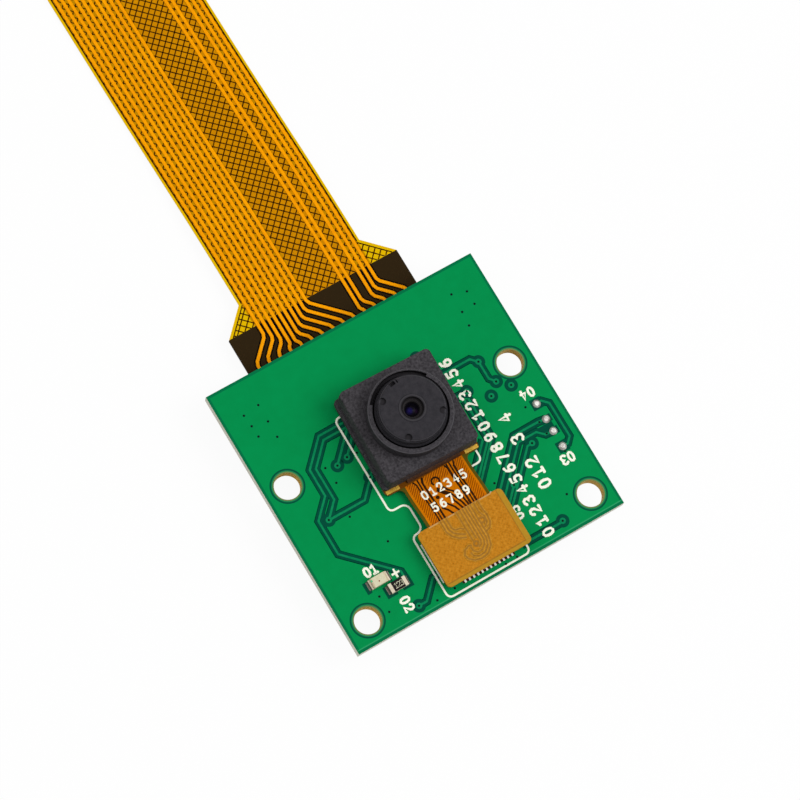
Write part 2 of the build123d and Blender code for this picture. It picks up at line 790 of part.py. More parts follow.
# Parts on the underside
def hang(piece):
    """Turns a part that stands on a board over, onto the underside."""
    return Pos(0, 0, board_z) * Rot(180, 0, 0) * piece


def clock_oscillator():
    base = slab(clock_x, clock_y, clock_base_t)
    base = chamfer(base.edges().filter_by(Axis.Z), 0.12)
    lid = slab(clock_x - 0.3, clock_y - 0.3, clock_lid_t)
    lid = chamfer(lid.edges().filter_by(Axis.Z), 0.2)
    lid = chamfer(lid.faces().sort_by(Axis.Z)[-1].edges(), 0.1)
    place = Pos(clock_cx, -clock_cy, 0)
    return hang(place * base), hang(place * Pos(0, 0, clock_base_t) * lid)


def regulators():
    bodies, leads = [], []
    body = slab(regulator_x, regulator_y, regulator_h - regulator_lift, (0, 0, regulator_lift))
    body = chamfer(body.faces().sort_by(Axis.Z)[-1].edges(), 0.1)
    knee = regulator_y / 2 + 0.2
    low, high = lead_t / 2, regulator_h / 2
    points = [(lead_reach, low), (knee, low), (knee, high), (regulator_y / 2, high)]
    lead = bent_strip(points, lead_t, lead_w)
    for x, y in regulators_at:
        place = Pos(x, -y, 0)
        bodies.append(hang(place * body))
        for at in (-lead_pitch, 0, lead_pitch):
            leads.append(hang(place * Pos(at, 0, 0) * lead))
        for at in (-lead_pitch, lead_pitch):
            leads.append(hang(place * Pos(at, 0, 0) * Rot(0, 0, 180) * lead))
    return bodies, leads


def small_chips(places, height):
    bodies, ends = [], []
    body = slab(capacitor_x - 2 * plating_t, capacitor_y, height)
    for x, y in places:
        place = Pos(x, -y, 0)
        bodies.append(hang(place * body))
        for side in (1, -1):
            ends.append(hang(place * end_cap(side * capacitor_x / 2, side, cap_end, capacitor_y, height)))
    return bodies, ends


os.makedirs("parts", exist_ok=True)
print(f"ribbon bend radii {ribbon_bend_r:.1f} mm and {ribbon_bend_r:.1f} mm")
save("circuit_board", circuit_board())
save("silkscreen_outline", silkscreen_outline())
save("module_tape", module_tape())
save("base_stiffener", base_stiffener())
save("module_flex", module_flex())
save("ground_pads", ground_pads())
save("image_sensor", image_sensor())
save("ir_filter", ir_filter())
save("lens_housing", lens_housing())
save("foot_sealant", foot_sealant())
save("lens_barrel", lens_barrel())
lenses, spacers, retainer = lens_stack()
save("front_lens", lenses[0])
save("middle_lens", lenses[1])
save("rear_lens", lenses[2])
save("lens_spacers", spacers)
save("lens_retainer", retainer)
save("flex_stiffener", flex_stiffener())
save("flex_plug", flex_plug())
save("flex_plug_contacts", flex_plug_contacts())
save("board_socket", board_socket())
save("board_socket_contacts", board_socket_contacts())
save("board_socket_clips", board_socket_clips())
led_body, led_lens, led_ends = led()
save("led_base", led_body)
save("led_lens", led_lens)
save("led_ends", led_ends)
resistor_body, resistor_glaze, resistor_ends = resistor()
save("resistor_body", resistor_body)
save("resistor_glaze", resistor_glaze)
save("resistor_ends", resistor_ends)
save("chip_solder", chip_solder())
save("bare_pad_solder", bare_pad_solder())
save("ribbon_connector_body", ribbon_connector_body())
save("ribbon_connector_contacts", ribbon_connector_contacts())
save("ribbon_connector_clips", ribbon_connector_clips())
save("ribbon_connector_latch", ribbon_connector_latch())
save("ribbon_film", ribbon_film())
save("ribbon_tracks", ribbon_tracks())
save("ribbon_shield", ribbon_shield())
near_stiffener, far_stiffener = ribbon_stiffeners()
save("ribbon_near_stiffener", near_stiffener)
save("ribbon_far_stiffener", far_stiffener)
near_contacts, far_contacts = ribbon_contacts()
save("ribbon_near_contacts", near_contacts)
save("ribbon_far_contacts", far_contacts)
clock_base, clock_lid = clock_oscillator()
save("clock_base", clock_base)
save("clock_lid", clock_lid)
regulator_bodies, regulator_leads = regulators()
save("regulators", regulator_bodies)
save("regulator_leads", regulator_leads)
capacitors, capacitor_ends = small_chips(capacitors_at, capacitor_t)
save("capacitors", capacitors)
save("capacitor_ends", capacitor_ends)
small_resistors, small_resistor_ends = small_chips(small_resistors_at, small_resistor_t)
save("small_resistors", small_resistors)
save("small_resistor_ends", small_resistor_ends)
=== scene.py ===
from math import cos, pi, radians, sin

import bmesh
import bpy
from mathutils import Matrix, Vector
from mathutils.bvhtree import BVHTree


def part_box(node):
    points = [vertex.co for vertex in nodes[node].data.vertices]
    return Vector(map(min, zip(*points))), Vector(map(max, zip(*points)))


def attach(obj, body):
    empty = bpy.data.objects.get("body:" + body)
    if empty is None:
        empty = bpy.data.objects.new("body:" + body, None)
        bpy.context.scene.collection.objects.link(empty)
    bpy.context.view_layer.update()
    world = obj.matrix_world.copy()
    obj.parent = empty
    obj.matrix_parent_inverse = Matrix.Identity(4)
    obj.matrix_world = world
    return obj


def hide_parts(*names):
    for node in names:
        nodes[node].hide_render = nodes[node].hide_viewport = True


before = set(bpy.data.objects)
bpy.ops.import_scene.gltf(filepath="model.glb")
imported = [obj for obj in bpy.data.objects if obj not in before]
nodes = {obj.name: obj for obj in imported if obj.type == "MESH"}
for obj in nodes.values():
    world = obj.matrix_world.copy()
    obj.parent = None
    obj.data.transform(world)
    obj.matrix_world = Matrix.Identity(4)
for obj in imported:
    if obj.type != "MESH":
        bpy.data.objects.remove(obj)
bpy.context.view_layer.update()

scene = bpy.context.scene

# Camera: it stands almost straight above the board, a little to its lower left, and its upper edge
# is turned so that the ribbon runs to the upper left corner.
lens = bpy.data.cameras.new("view")
lens.lens = 151.63
lens.sensor_width = 36
lens.clip_start = 0.02
camera = bpy.data.objects.new("view", lens)
camera.location = (-0.06263, -0.03929, 0.26349)
camera.rotation_euler = (radians(14.9903), radians(-7.0482), radians(-31.0513))
scene.collection.objects.link(camera)
scene.camera = camera
scene.view_settings.view_transform = "Standard"

# Room: a pale sky all round, one broad lamp from the lower right, whose shadow falls to the upper
# left as in the photograph, and two weaker ones that open the shadows.
def calc(operation, first, second=0.0, third=0.0):
    """One step of arithmetic on sockets or numbers, in the node tree that the sockets are in."""
    values = (first, second, third)
    tree = next(value.id_data for value in values if isinstance(value, bpy.types.NodeSocket))
    node = tree.nodes.new("ShaderNodeMath")
    node.operation = operation
    for value, socket in zip(values, node.inputs):
        if isinstance(value, bpy.types.NodeSocket):
            tree.links.new(value, socket)
        else:
            socket.default_value = value
    return node.outputs[0]


def connect(tree, pairs):
    """Links each output socket to its input socket."""
    for source, target in pairs:
        tree.links.new(source, target)


world = bpy.data.worlds.new("room")
scene.world = world
world.use_nodes = True
sky = world.node_tree
ambient = sky.nodes["Background"]
ambient.inputs["Color"].default_value = (1.0, 1.0, 1.0, 1)
ambient.inputs["Strength"].default_value = 0.36
seen = sky.nodes.new("ShaderNodeBackground")
seen.inputs["Strength"].default_value = 1.0
rays = sky.nodes.new("ShaderNodeLightPath").outputs
mirrored = calc("MULTIPLY", rays["Is Glossy Ray"], 0.5)
either = sky.nodes.new("ShaderNodeMixShader")
connect(sky, [
    (calc("MAXIMUM", rays["Is Camera Ray"], mirrored), either.inputs["Fac"]),
    (ambient.outputs[0], either.inputs[1]),
    (seen.outputs[0], either.inputs[2]),
    (either.outputs[0], sky.nodes["World Output"].inputs["Surface"]),
])
for name, place, power, size in (
    ("key", (0.30, -0.16, 0.46), 1.62, 0.34),
    ("fill", (-0.34, 0.22, 0.42), 0.64, 0.4),
    ("over", (0.02, 0.05, 0.62), 0.77, 0.5),
):
    lamp = bpy.data.lights.new(name, "AREA")
    lamp.energy = power
    lamp.size = size
    lamp_object = bpy.data.objects.new(name, lamp)
    lamp_object.location = place
    lamp_object.rotation_euler = (-Vector(place)).to_track_quat("-Z", "Y").to_euler()
    scene.collection.objects.link(lamp_object)

# Floor: a white table that the part lies on. It shows white in the picture and keeps the part's
# soft shadow.
white_share = 0.94
table_mesh = bmesh.new()
bmesh.ops.create_grid(table_mesh, x_segments=1, y_segments=1, size=0.9)
bmesh.ops.translate(table_mesh, verts=table_mesh.verts, vec=(0, 0, -0.00004))
table_data = bpy.data.meshes.new("table")
table_mesh.to_mesh(table_data)
table_mesh.free()
table = bpy.data.objects.new("table", table_data)
scene.collection.objects.link(table)
table_paint = bpy.data.materials.new("table_white")
table_paint.use_nodes = True
paint = table_paint.node_tree
matt = paint.nodes["Principled BSDF"]
matt.inputs["Base Color"].default_value = (0.9, 0.9, 0.9, 1)
matt.inputs["Roughness"].default_value = 0.9
glow = paint.nodes.new("ShaderNodeEmission")
camera_ray = paint.nodes.new("ShaderNodeLightPath").outputs["Is Camera Ray"]
table_mix = paint.nodes.new("ShaderNodeMixShader")
connect(paint, [
    (calc("MULTIPLY", camera_ray, white_share), table_mix.inputs["Fac"]),
    (matt.outputs[0], table_mix.inputs[1]),
    (glow.outputs[0], table_mix.inputs[2]),
    (table_mix.outputs[0], paint.nodes["Material Output"].inputs["Surface"]),
])
table_data.materials.append(table_paint)

# Ribbon film: amber polyimide, wide where it is plugged in, with slanted shoulders and a long narrow
# body. It leaves the connector level, sinks to the table and lies there, a little askew.
mm = 0.001
ribbon_from = 7.95
level_to = 21.5
askew_slope = 0.0152
dark_to = 15.7
film_rim = 5.55
ribbon_route = [
    (0, ribbon_from, 1.2), (0, level_to, 1.2), (-0.12, 33.5, 0.25), (-0.36, 45.5, 0.25), (-2.1, 157.9, 0.25),
]
ribbon_line = bpy.data.curves.new("ribbon_line", "CURVE")
ribbon_line.dimensions = "3D"
ribbon_line.resolution_u = 24
ribbon_spline = ribbon_line.splines.new("NURBS")
ribbon_spline.points.add(len(ribbon_route) - 1)
for point, (x, y, z) in zip(ribbon_spline.points, ribbon_route):
    point.co = (x * mm, y * mm, z * mm, 1)
ribbon_spline.order_u = 3
ribbon_spline.use_endpoint_u = True
line_holder = bpy.data.objects.new("ribbon_line", ribbon_line)
scene.collection.objects.link(line_holder)
line_mesh = bpy.data.meshes.new_from_object(line_holder)
ribbon_points = [v.co.copy() for v in line_mesh.vertices]
bpy.data.objects.remove(line_holder)
ribbon_reach = [0.0]
for before, after in zip(ribbon_points, ribbon_points[1:]):
    ribbon_reach.append(ribbon_reach[-1] + (after - before).length)
ribbon_head = 16.0
ribbon_body = 11.5
shoulder_from = 15.67
shoulder_to = shoulder_from + (ribbon_head - ribbon_body) / 2
ribbon_to = ribbon_from + ribbon_reach[-1] / mm
film_half = 0.06


def lay_on_ribbon(work):
    """Bends a flat mesh in millimetres, Y along the ribbon, onto the ribbon's line."""
    for reach in ribbon_reach[1:-1]:
        everything = work.verts[:] + work.edges[:] + work.faces[:]
        cut = (0, ribbon_from + reach / mm, 0)
        bmesh.ops.bisect_plane(work, geom=everything, plane_co=cut, plane_no=(0, 1, 0), dist=1e-5)
    for vert in work.verts:
        along = min(max((vert.co.y - ribbon_from) * mm, 0), ribbon_reach[-1])
        step = max(i for i, reach in enumerate(ribbon_reach[:-1]) if reach <= along)
        start, end = ribbon_points[step], ribbon_points[step + 1]
        ahead = (end - start).normalized()
        nearer = along - ribbon_reach[step]
        if step + 2 < len(ribbon_points):
            bend = (ribbon_points[step + 2] - end).normalized()
            ahead = ahead.lerp(bend, nearer / (end - start).length * 0.5).normalized()
        side = ahead.cross(Vector((0, 0, 1))).normalized()
        off_line = side * vert.co.x + side.cross(ahead) * vert.co.z
        vert.co = start + (end - start).normalized() * nearer + off_line * mm


def piece_of(work, name, material, body="board"):
    """Makes a finished piece of a mesh, which moves with a body of the frame."""
    bmesh.ops.recalc_face_normals(work, faces=work.faces)
    data = bpy.data.meshes.new(name)
    work.to_mesh(data)
    work.free()
    data.materials.append(material)
    piece = bpy.data.objects.new(name, data)
    scene.collection.objects.link(piece)
    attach(piece, body)
    return piece


def linear(red, green, blue):
    """Colour as a screen shows it, from 0 to 255, for the shader."""
    parts = [value / 255 for value in (red, green, blue)]
    return tuple(p / 12.92 if p <= 0.04045 else ((p + 0.055) / 1.055) ** 2.4 for p in parts) + (1,)


uneven = bpy.data.node_groups.new("uneven", "ShaderNodeTree")
uneven_sockets = {
    "INPUT": {
        "Vector": "Vector", "Colour": "Color", "Low colour": "Color", "Scale": "Float", "Rough": "Float",
        "Spread": "Float",
    },
    "OUTPUT": {"Colour": "Color", "Roughness": "Float", "Height": "Float"},
}
for way, sockets in uneven_sockets.items():
    for name, kind in sockets.items():
        uneven.interface.new_socket(name=name, in_out=way, socket_type="NodeSocket" + kind)
given = uneven.nodes.new("NodeGroupInput").outputs
result = uneven.nodes.new("NodeGroupOutput").inputs
patches_noise = uneven.nodes.new("ShaderNodeTexNoise")
patches_noise.inputs["Detail"].default_value = 3
grain_noise = uneven.nodes.new("ShaderNodeTexNoise")
grain_noise.inputs["Detail"].default_value = 2
stretch = uneven.nodes.new("ShaderNodeMapRange")
stretch.inputs["From Min"].default_value = 0.7
stretch.inputs["From Max"].default_value = 1.3
blend = uneven.nodes.new("ShaderNodeMix")
blend.data_type = "RGBA"
patches, grain = patches_noise.outputs["Fac"], grain_noise.outputs["Fac"]
connect(uneven, [
    (given["Vector"], patches_noise.inputs["Vector"]),
    (given["Vector"], grain_noise.inputs["Vector"]),
    (given["Scale"], patches_noise.inputs["Scale"]),
    (calc("MULTIPLY", given["Scale"], 9), grain_noise.inputs["Scale"]),
    (calc("ADD", patches, grain), stretch.inputs["Value"]),
    (stretch.outputs[0], blend.inputs["Factor"]),
    (given["Low colour"], blend.inputs["A"]),
    (given["Colour"], blend.inputs["B"]),
    (blend.outputs["Result"], result["Colour"]),
    (calc("MULTIPLY_ADD", stretch.outputs[0], given["Spread"], given["Rough"]), result["Roughness"]),
    (grain, result["Height"]),
])


def finish_of(name, colour, low, rough, scale=900, spread=0.1, relief=0.0, metal=0.0, gloss=0.04):
    """A finish that is never quite even: its colour, its sheen and a fine relief vary a little."""
    material = bpy.data.materials.new(name)
    material.use_nodes = True
    tree = material.node_tree
    shader = tree.nodes["Principled BSDF"]
    shader.inputs["Metallic"].default_value = metal
    shader.inputs["Specular IOR Level"].default_value = gloss
    place = tree.nodes.new("ShaderNodeTexCoord")
    vary = tree.nodes.new("ShaderNodeGroup")
    vary.node_tree = uneven
    vary.inputs["Colour"].default_value = linear(*colour)
    vary.inputs["Low colour"].default_value = linear(*low)
    vary.inputs["Scale"].default_value = scale
    vary.inputs["Rough"].default_value = rough
    vary.inputs["Spread"].default_value = spread
    tree.links.new(place.outputs["Object"], vary.inputs["Vector"])
    tree.links.new(vary.outputs["Colour"], shader.inputs["Base Color"])
    tree.links.new(vary.outputs["Roughness"], shader.inputs["Roughness"])
    if relief:
        bump = tree.nodes.new("ShaderNodeBump")
        bump.inputs["Strength"].default_value = relief
        bump.inputs["Distance"].default_value = 0.00002
        tree.links.new(vary.outputs["Height"], bump.inputs["Height"])
        tree.links.new(bump.outputs["Normal"], shader.inputs["Normal"])
    return material


def tint(material, steps):
    """Paints parts of a finish in other colours; each step is a mask socket and a colour."""
    tree = material.node_tree
    shader = tree.nodes["Principled BSDF"]
    for mask, colour in steps:
        carried = shader.inputs["Base Color"].links[0].from_socket
        mix = tree.nodes.new("ShaderNodeMix")
        mix.data_type = "RGBA"
        mix.inputs["B"].default_value = linear(*colour)
        tree.links.new(mask, mix.inputs["Factor"])
        tree.links.new(carried, mix.inputs["A"])
        tree.links.new(mix.outputs["Result"], shader.inputs["Base Color"])


def axes_of(material):
    """The X, Y and Z sockets of a finish's own coordinates."""
    tree = material.node_tree
    place = next(n for n in tree.nodes if n.type == "TEX_COORD")
    split = tree.nodes.new("ShaderNodeSeparateXYZ")
    tree.links.new(place.outputs["Object"], split.inputs[0])
    return split.outputs


film_finish = finish_of("amber_film", (208, 138, 0), (196, 127, 0), 0.3, 350, 0.08, 0.05, gloss=0.01)
film_x, film_y = axes_of(film_finish)[:2]
beyond_bend = calc("MAXIMUM", calc("SUBTRACT", film_y, level_to * mm), 0.0)
film_x = calc("MULTIPLY_ADD", beyond_bend, askew_slope, film_x)
in_socket = calc("LESS_THAN", film_y, dark_to * mm)
on_edge = calc("GREATER_THAN", calc("ABSOLUTE", film_x), film_rim * mm)
left_band = calc("COMPARE", film_x, -3.0 * mm, 2.5 * mm)
right_band = calc("COMPARE", film_x, 4.8 * mm, 0.7 * mm)
bands = calc("MAXIMUM", left_band, right_band)
tint(film_finish, [(bands, (186, 130, 0)), (on_edge, (226, 182, 0)), (in_socket, (46, 34, 17))])
film_work = bmesh.new()
outline = [(ribbon_head / 2, ribbon_from), (ribbon_head / 2, shoulder_from), (ribbon_body / 2, shoulder_to)]
outline.append((ribbon_body / 2, ribbon_to))
corners = [film_work.verts.new((x, y, -film_half)) for x, y in outline]
corners += [film_work.verts.new((-x, y, -film_half)) for x, y in outline[::-1]]
film_sheet = film_work.faces.new(corners)
film_lift = bmesh.ops.extrude_face_region(film_work, geom=[film_sheet])
raised = [v for v in film_lift["geom"] if isinstance(v, bmesh.types.BMVert)]
bmesh.ops.translate(film_work, verts=raised, vec=(0, 0, 2 * film_half))
lay_on_ribbon(film_work)
ribbon = piece_of(film_work, "ribbon", film_finish)
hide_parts("ribbon_film")

# Ribbon net: a thin copper net on the underside of the ribbon's body and shoulders, whose dark lines
# show through the film, with a border just inside its edge. The lines are laid on both faces.
net_pitch = 0.7071
diagonal = 1.4142
net_half = 0.053
net_edge = 5.5
net_start = {1: 0.254, -1: 0.641}
far_plate_long = 6.5
net_to = ribbon_to - far_plate_long
rail_half = 0.06
rail_gap = 0.15
slope_half = 0.07
slope_to = shoulder_to - rail_gap
seam = shoulder_to - 0.02


def join(*works):
    """Puts several meshes in one."""
    whole = bmesh.new()
    for work in works:
        data = bpy.data.meshes.new("joined")
        work.to_mesh(data)
        work.free()
        whole.from_mesh(data)
        bpy.data.meshes.remove(data)
    return whole


def net_lines(level, thick):
    """Slanted lines both ways over the body and the shoulders, with a rail along the film's border."""
    parts = []
    on_body = [((side * net_edge, 0, 0), (side, 0, 0)) for side in (1, -1)]
    on_shoulder = [((side * net_edge, slope_to, 0), (side, 1, 0)) for side in (1, -1)]
    for low, high, borders in ((seam, net_to, on_body), (shoulder_from + 0.04, seam, on_shoulder)):
        part = bmesh.new()
        reach = ribbon_head / 2
        lean = net_half * diagonal
        for way in (1, -1):
            first = (low - reach - net_start[way]) // net_pitch
            for i in range(int((high - low + 2 * reach) / net_pitch) + 2):
                middle = (first + i) * net_pitch + net_start[way]
                ends = [(-reach, middle - way * reach), (reach, middle + way * reach)]
                line = [(x, y + lean * s, level) for (x, y), s in zip(ends + ends[::-1], (-1, -1, 1, 1))]
                part.faces.new([part.verts.new(p) for p in line])
        for spot, away in [((0, low, 0), (0, -1, 0)), ((0, high, 0), (0, 1, 0))] + borders:
            everything = part.verts[:] + part.edges[:] + part.faces[:]
            bmesh.ops.bisect_plane(part, geom=everything, plane_co=spot, plane_no=away, clear_outer=True)
        parts.append(part)
    work = join(*parts)
    for side in (1, -1):
        inner, outer = side * (net_edge - rail_half), side * (net_edge + rail_half)
        near, far = side * net_edge, side * (net_edge + slope_to - shoulder_from)
        rail = [(outer, shoulder_to), (outer, net_to), (inner, net_to), (inner, shoulder_to)]
        slope = [
            (near, slope_to + slope_half), (far, shoulder_from + slope_half),
            (far, shoulder_from - slope_half), (near, slope_to - slope_half),
        ]
        for plan in (rail, slope):
            work.faces.new([work.verts.new((x, y, level)) for x, y in plan])
    lifted = bmesh.ops.extrude_face_region(work, geom=work.faces[:])
    raised = [v for v in lifted["geom"] if isinstance(v, bmesh.types.BMVert)]
    bmesh.ops.translate(work, verts=raised, vec=(0, 0, thick))
    lay_on_ribbon(work)
    return work


net_seen = finish_of("net_through_film", (78, 44, 0), (58, 30, 0), 0.35, 500, gloss=0.02)
net_copper = finish_of("net_copper", (196, 132, 66), (168, 106, 48), 0.32, 500, metal=0.6)
ribbon_net = piece_of(net_lines(film_half - 0.004, 0.006), "ribbon_net", net_seen)
under_net = piece_of(net_lines(-film_half - 0.015, 0.018), "ribbon_under_net", net_copper)
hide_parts("ribbon_shield")

# Ribbon tracks: fifteen rolled-copper tracks under clear cover film, a millimetre apart in the
# connector and drawn together to half of that on the body, some places left free.
ribbon_places = (-10.5, -9.5, -8.5, -7.5, -6.5, -5.5, -4.5, -3.5, -2.5, -1.5, 5.5, 6.5, 8.5, 9.5, 10.5)
track_from = 11.9
track_end = ribbon_to - 4.0
track_width = 0.31
shade_width = 0.54
fan_from = 12.9
fan_drift = 0.03


def wires(name, paths, width, rise, level):
    """Low rounded lines along plan paths in millimetres; a path that closes on itself is a ring."""
    wire = bpy.data.curves.new(name, "CURVE")
    wire.dimensions = "3D"
    wire.bevel_depth = width / 2
    wire.bevel_resolution = 2
    wire.use_fill_caps = True
    for path in paths:
        closed = path[0] == path[-1]
        stops = path[:-1] if closed else path
        spline = wire.splines.new("POLY")
        spline.points.add(len(stops) - 1)
        spline.use_cyclic_u = closed
        for point, (x, y) in zip(spline.points, stops):
            point.co = (x, y, 0, 1)
    holder = bpy.data.objects.new(name, wire)
    scene.collection.objects.link(holder)
    data = bpy.data.meshes.new_from_object(holder)
    bpy.data.objects.remove(holder)
    work = bmesh.new()
    work.from_mesh(data)
    bpy.data.meshes.remove(data)
    bmesh.ops.scale(work, verts=work.verts, vec=(1, 1, 2 * rise / width))
    bmesh.ops.translate(work, verts=work.verts, vec=(0, 0, level))
    return work


track_finish = finish_of("covered_copper", (255, 166, 0), (244, 152, 0), 0.28, 400, 0.08, 0.05, gloss=0.02)
shade_finish = finish_of("track_shade", (20, 12, 6), (14, 8, 4), 0.4, 500, gloss=0.02)
ribbon_paths = []
for place, contact in zip(ribbon_places, range(-7, 8)):
    x = place / 2
    start = fan_from - fan_drift * (contact + 7)
    turn = start + abs(contact - x)
    side = 1 if x > contact else -1
    ease = min(0.2, 0.4 * abs(contact - x))
    lean = side * ease * 0.7
    ribbon_paths.append([
        (contact, track_from), (contact, start - ease), (contact + lean, start + abs(lean)),
        (x - lean, turn - abs(lean)), (x, turn + ease), (x, track_end),
    ])
shade_paths = [path[:-1] + [(path[-1][0], shoulder_from)] for path in ribbon_paths]
shade_work = wires("track_shade", shade_paths, shade_width, 0.005, film_half)
lay_on_ribbon(shade_work)
track_shade = piece_of(shade_work, "ribbon_track_shade", shade_finish)
track_work = wires("ribbon_tracks", ribbon_paths, track_width, 0.03, film_half)
lay_on_ribbon(track_work)
ribbon_tracks = piece_of(track_work, "ribbon_tracks_drawn", track_finish)
for polygon in ribbon_tracks.data.polygons:
    polygon.use_smooth = True
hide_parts("ribbon_tracks")

# Ribbon's far end: it is stiffened by a plate underneath, and its twenty-two contacts lie bare and
# tinned on top.
stiff_finish = finish_of("stiffener_plate", (40, 44, 58), (30, 34, 46), 0.5, 700)
tin_finish = finish_of("tin", (214, 212, 204), (168, 166, 160), 0.24, 1400, 0.14, 0.1, metal=0.9)
far_plate_thick = 0.18
far_pitch = 0.5
far_pads = 22
far_pad_long = 3.9
far_pad_thick = 0.03
far_pad_middle = ribbon_to - 2.05
far_work = bmesh.new()
bmesh.ops.create_cube(far_work, size=1)
bmesh.ops.scale(far_work, verts=far_work.verts, vec=(ribbon_body, far_plate_long, far_plate_thick))
far_middle = (0, ribbon_to - far_plate_long / 2, -film_half - far_plate_thick / 2)
bmesh.ops.translate(far_work, verts=far_work.verts, vec=far_middle)
lay_on_ribbon(far_work)
far_plate = piece_of(far_work, "ribbon_far_plate", stiff_finish)
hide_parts("ribbon_far_stiffener")
far_contacts_work = bmesh.new()
for i in range(far_pads):
    made = bmesh.ops.create_cube(far_contacts_work, size=1)["verts"]
    bmesh.ops.scale(far_contacts_work, verts=made, vec=(0.3, far_pad_long, far_pad_thick))
    across = (i - (far_pads - 1) / 2) * far_pitch
    spot = (across, far_pad_middle, film_half + far_pad_thick / 2)
    bmesh.ops.translate(far_contacts_work, verts=made, vec=spot)
lay_on_ribbon(far_contacts_work)
far_contacts = piece_of(far_contacts_work, "ribbon_far_pads", tin_finish)
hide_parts("ribbon_far_contacts")

# Circuit board: glass-fibre laminate, pale where it is cut, under a green solder mask. Copper lies
# under the mask up to a narrow strip at the edge and round each hole, where the green is darker.
top = 3.7
underside = 2.7
mask_green = (0, 143, 76)
bare_green = (0, 82, 58)
laminate = (212, 210, 194)
hole_wall = (210, 174, 88)
hole_x, hole_y, holes_middle = 10.5, 6.25, -3.75
copper_side, copper_end = 12.28, 11.76


def dress(name, material):
    """Gives a solid of the frame its finish."""
    slots = nodes[name].data.materials
    slots.clear()
    slots.append(material)


def from_upright(x, y, spot_x, spot_y):
    """Distance from an upright line, in metres."""
    dx, dy = calc("SUBTRACT", x, spot_x), calc("SUBTRACT", y, spot_y)
    return calc("SQRT", calc("ADD", calc("MULTIPLY", dx, dx), calc("MULTIPLY", dy, dy)))


mask_finish = finish_of("solder_mask", mask_green, (0, 138, 72), 0.34, 130, 0.06, 0.04, gloss=0.02)
board_x, board_y = axes_of(mask_finish)[:2]
from_middle = calc("ABSOLUTE", board_x)
side_strip = calc("GREATER_THAN", from_middle, copper_side * mm)
end_strip = calc("GREATER_THAN", calc("ABSOLUTE", board_y), copper_end * mm)
strip = calc("MAXIMUM", side_strip, end_strip)
inner_line = calc("MULTIPLY", calc("COMPARE", board_y, -11.71 * mm, 0.045 * mm), 0.4)
from_row = calc("ABSOLUTE", calc("SUBTRACT", board_y, holes_middle * mm))
from_hole = from_upright(from_middle, from_row, hole_x * mm, hole_y * mm)
ring_mask = calc("COMPARE", from_hole, 1.37 * mm, 0.07 * mm)
inner_mask = calc("LESS_THAN", from_hole, 1.3 * mm)
brink = calc("LESS_THAN", from_hole, 1.2 * mm)
facing = mask_finish.node_tree.nodes.new("ShaderNodeNewGeometry")
facing_axes = mask_finish.node_tree.nodes.new("ShaderNodeSeparateXYZ")
mask_finish.node_tree.links.new(facing.outputs["Normal"], facing_axes.inputs[0])
upright = calc("LESS_THAN", calc("ABSOLUTE", facing_axes.outputs[2]), 0.5)
in_hole = calc("MULTIPLY", upright, inner_mask)
tint(mask_finish, [
    (strip, (0, 112, 68)), (inner_line, (70, 176, 126)), (inner_mask, (26, 128, 80)), (brink, (112, 128, 74)),
    (ring_mask, bare_green), (upright, laminate), (in_hole, hole_wall),
])
dress("circuit_board", mask_finish)

# Tracks under the mask: copper lines a fifth of a millimetre wide, each between two strips where the
# copper is etched away and the laminate shows dark through the mask.
left_paths = [
    [(-3.9, 4.83), (-6.22, 4.83), (-8.28, 2.77), (-8.28, 0.35), (-9.8, -1.17), (-9.8, -4.25), (-6.15, -7.9),
     (-6.15, -8.5)],
    [(-3.9, 4.36), (-6.05, 4.36), (-7.8, 2.61), (-7.8, -0.26), (-9.03, -1.49)],
    [(-9.03, -1.5), (-5.7, -1.5), (-3.9, 0.3)],
    [(-6.15, 2.0), (-3.9, 4.25)], [(-5.13, 2.22), (-3.9, 3.45)],
    [(-6.33, -11.0), (-5.6, -11.0), (-4.2, -9.6), (-3.6, -9.55)],
]
right_paths = [
    [(4.4, 4.35), (7.75, 4.35), (8.28, 3.82), (8.28, 2.2), (8.68, 1.7)],
    [(4.4, 2.15), (6.15, 2.15)],
    [(5.58, 1.6), (5.58, -2.1), (2.9, -4.78)], [(5.95, 1.6), (5.95, -2.1), (2.9, -5.15)],
    [(5.2, -1.9), (2.9, -4.2)],
    [(10.6, -2.95), (9.9, -2.85), (7.55, -2.85), (3.6, -6.8)],
    [(10.6, -4.1), (9.9, -4.05), (9.33, -3.5), (7.6, -3.5), (3.8, -7.3)],
    [(8.55, -4.12), (8.1, -4.14), (3.9, -8.3)], [(5.45, -6.35), (3.9, -7.9)],
    [(10.6, -1.45), (11.05, -1.45), (11.55, -1.95), (11.55, -5.1), (11.1, -5.55), (10.6, -5.55)],
    [(7.35, -10.8), (7.0, -10.86), (3.4, -10.86)],
]
ringed_vias = [
    (-9.03, -1.49), (-6.15, 2.0), (-5.13, 2.22), (-6.33, -11.0), (8.28, 3.82), (8.68, 1.7), (7.7, 0.85),
    (9.6, 0.85), (6.15, 2.15), (8.55, -4.12), (7.35, -10.8), (5.45, -6.35), (4.03, 6.55), (-4.35, -0.1),
]


def pads(places, radius, thick, level, crown=0.8, steps=20):
    """Low round studs at plan places in millimetres."""
    work = bmesh.new()
    for x, y in places:
        sizes = {"radius1": radius, "radius2": radius * crown, "depth": thick}
        made = bmesh.ops.create_cone(work, cap_ends=True, segments=steps, **sizes)["verts"]
        bmesh.ops.translate(work, verts=made, vec=(x, y, level + thick / 2))
    return work


def tiles(boxes, thick, level):
    """Low rectangles, each given by its middle and its two sides in millimetres."""
    work = bmesh.new()
    for x, y, width, depth in boxes:
        made = bmesh.ops.create_cube(work, size=1)["verts"]
        bmesh.ops.scale(work, verts=made, vec=(width, depth, thick))
        bmesh.ops.translate(work, verts=made, vec=(x, y, level + thick / 2))
    return work


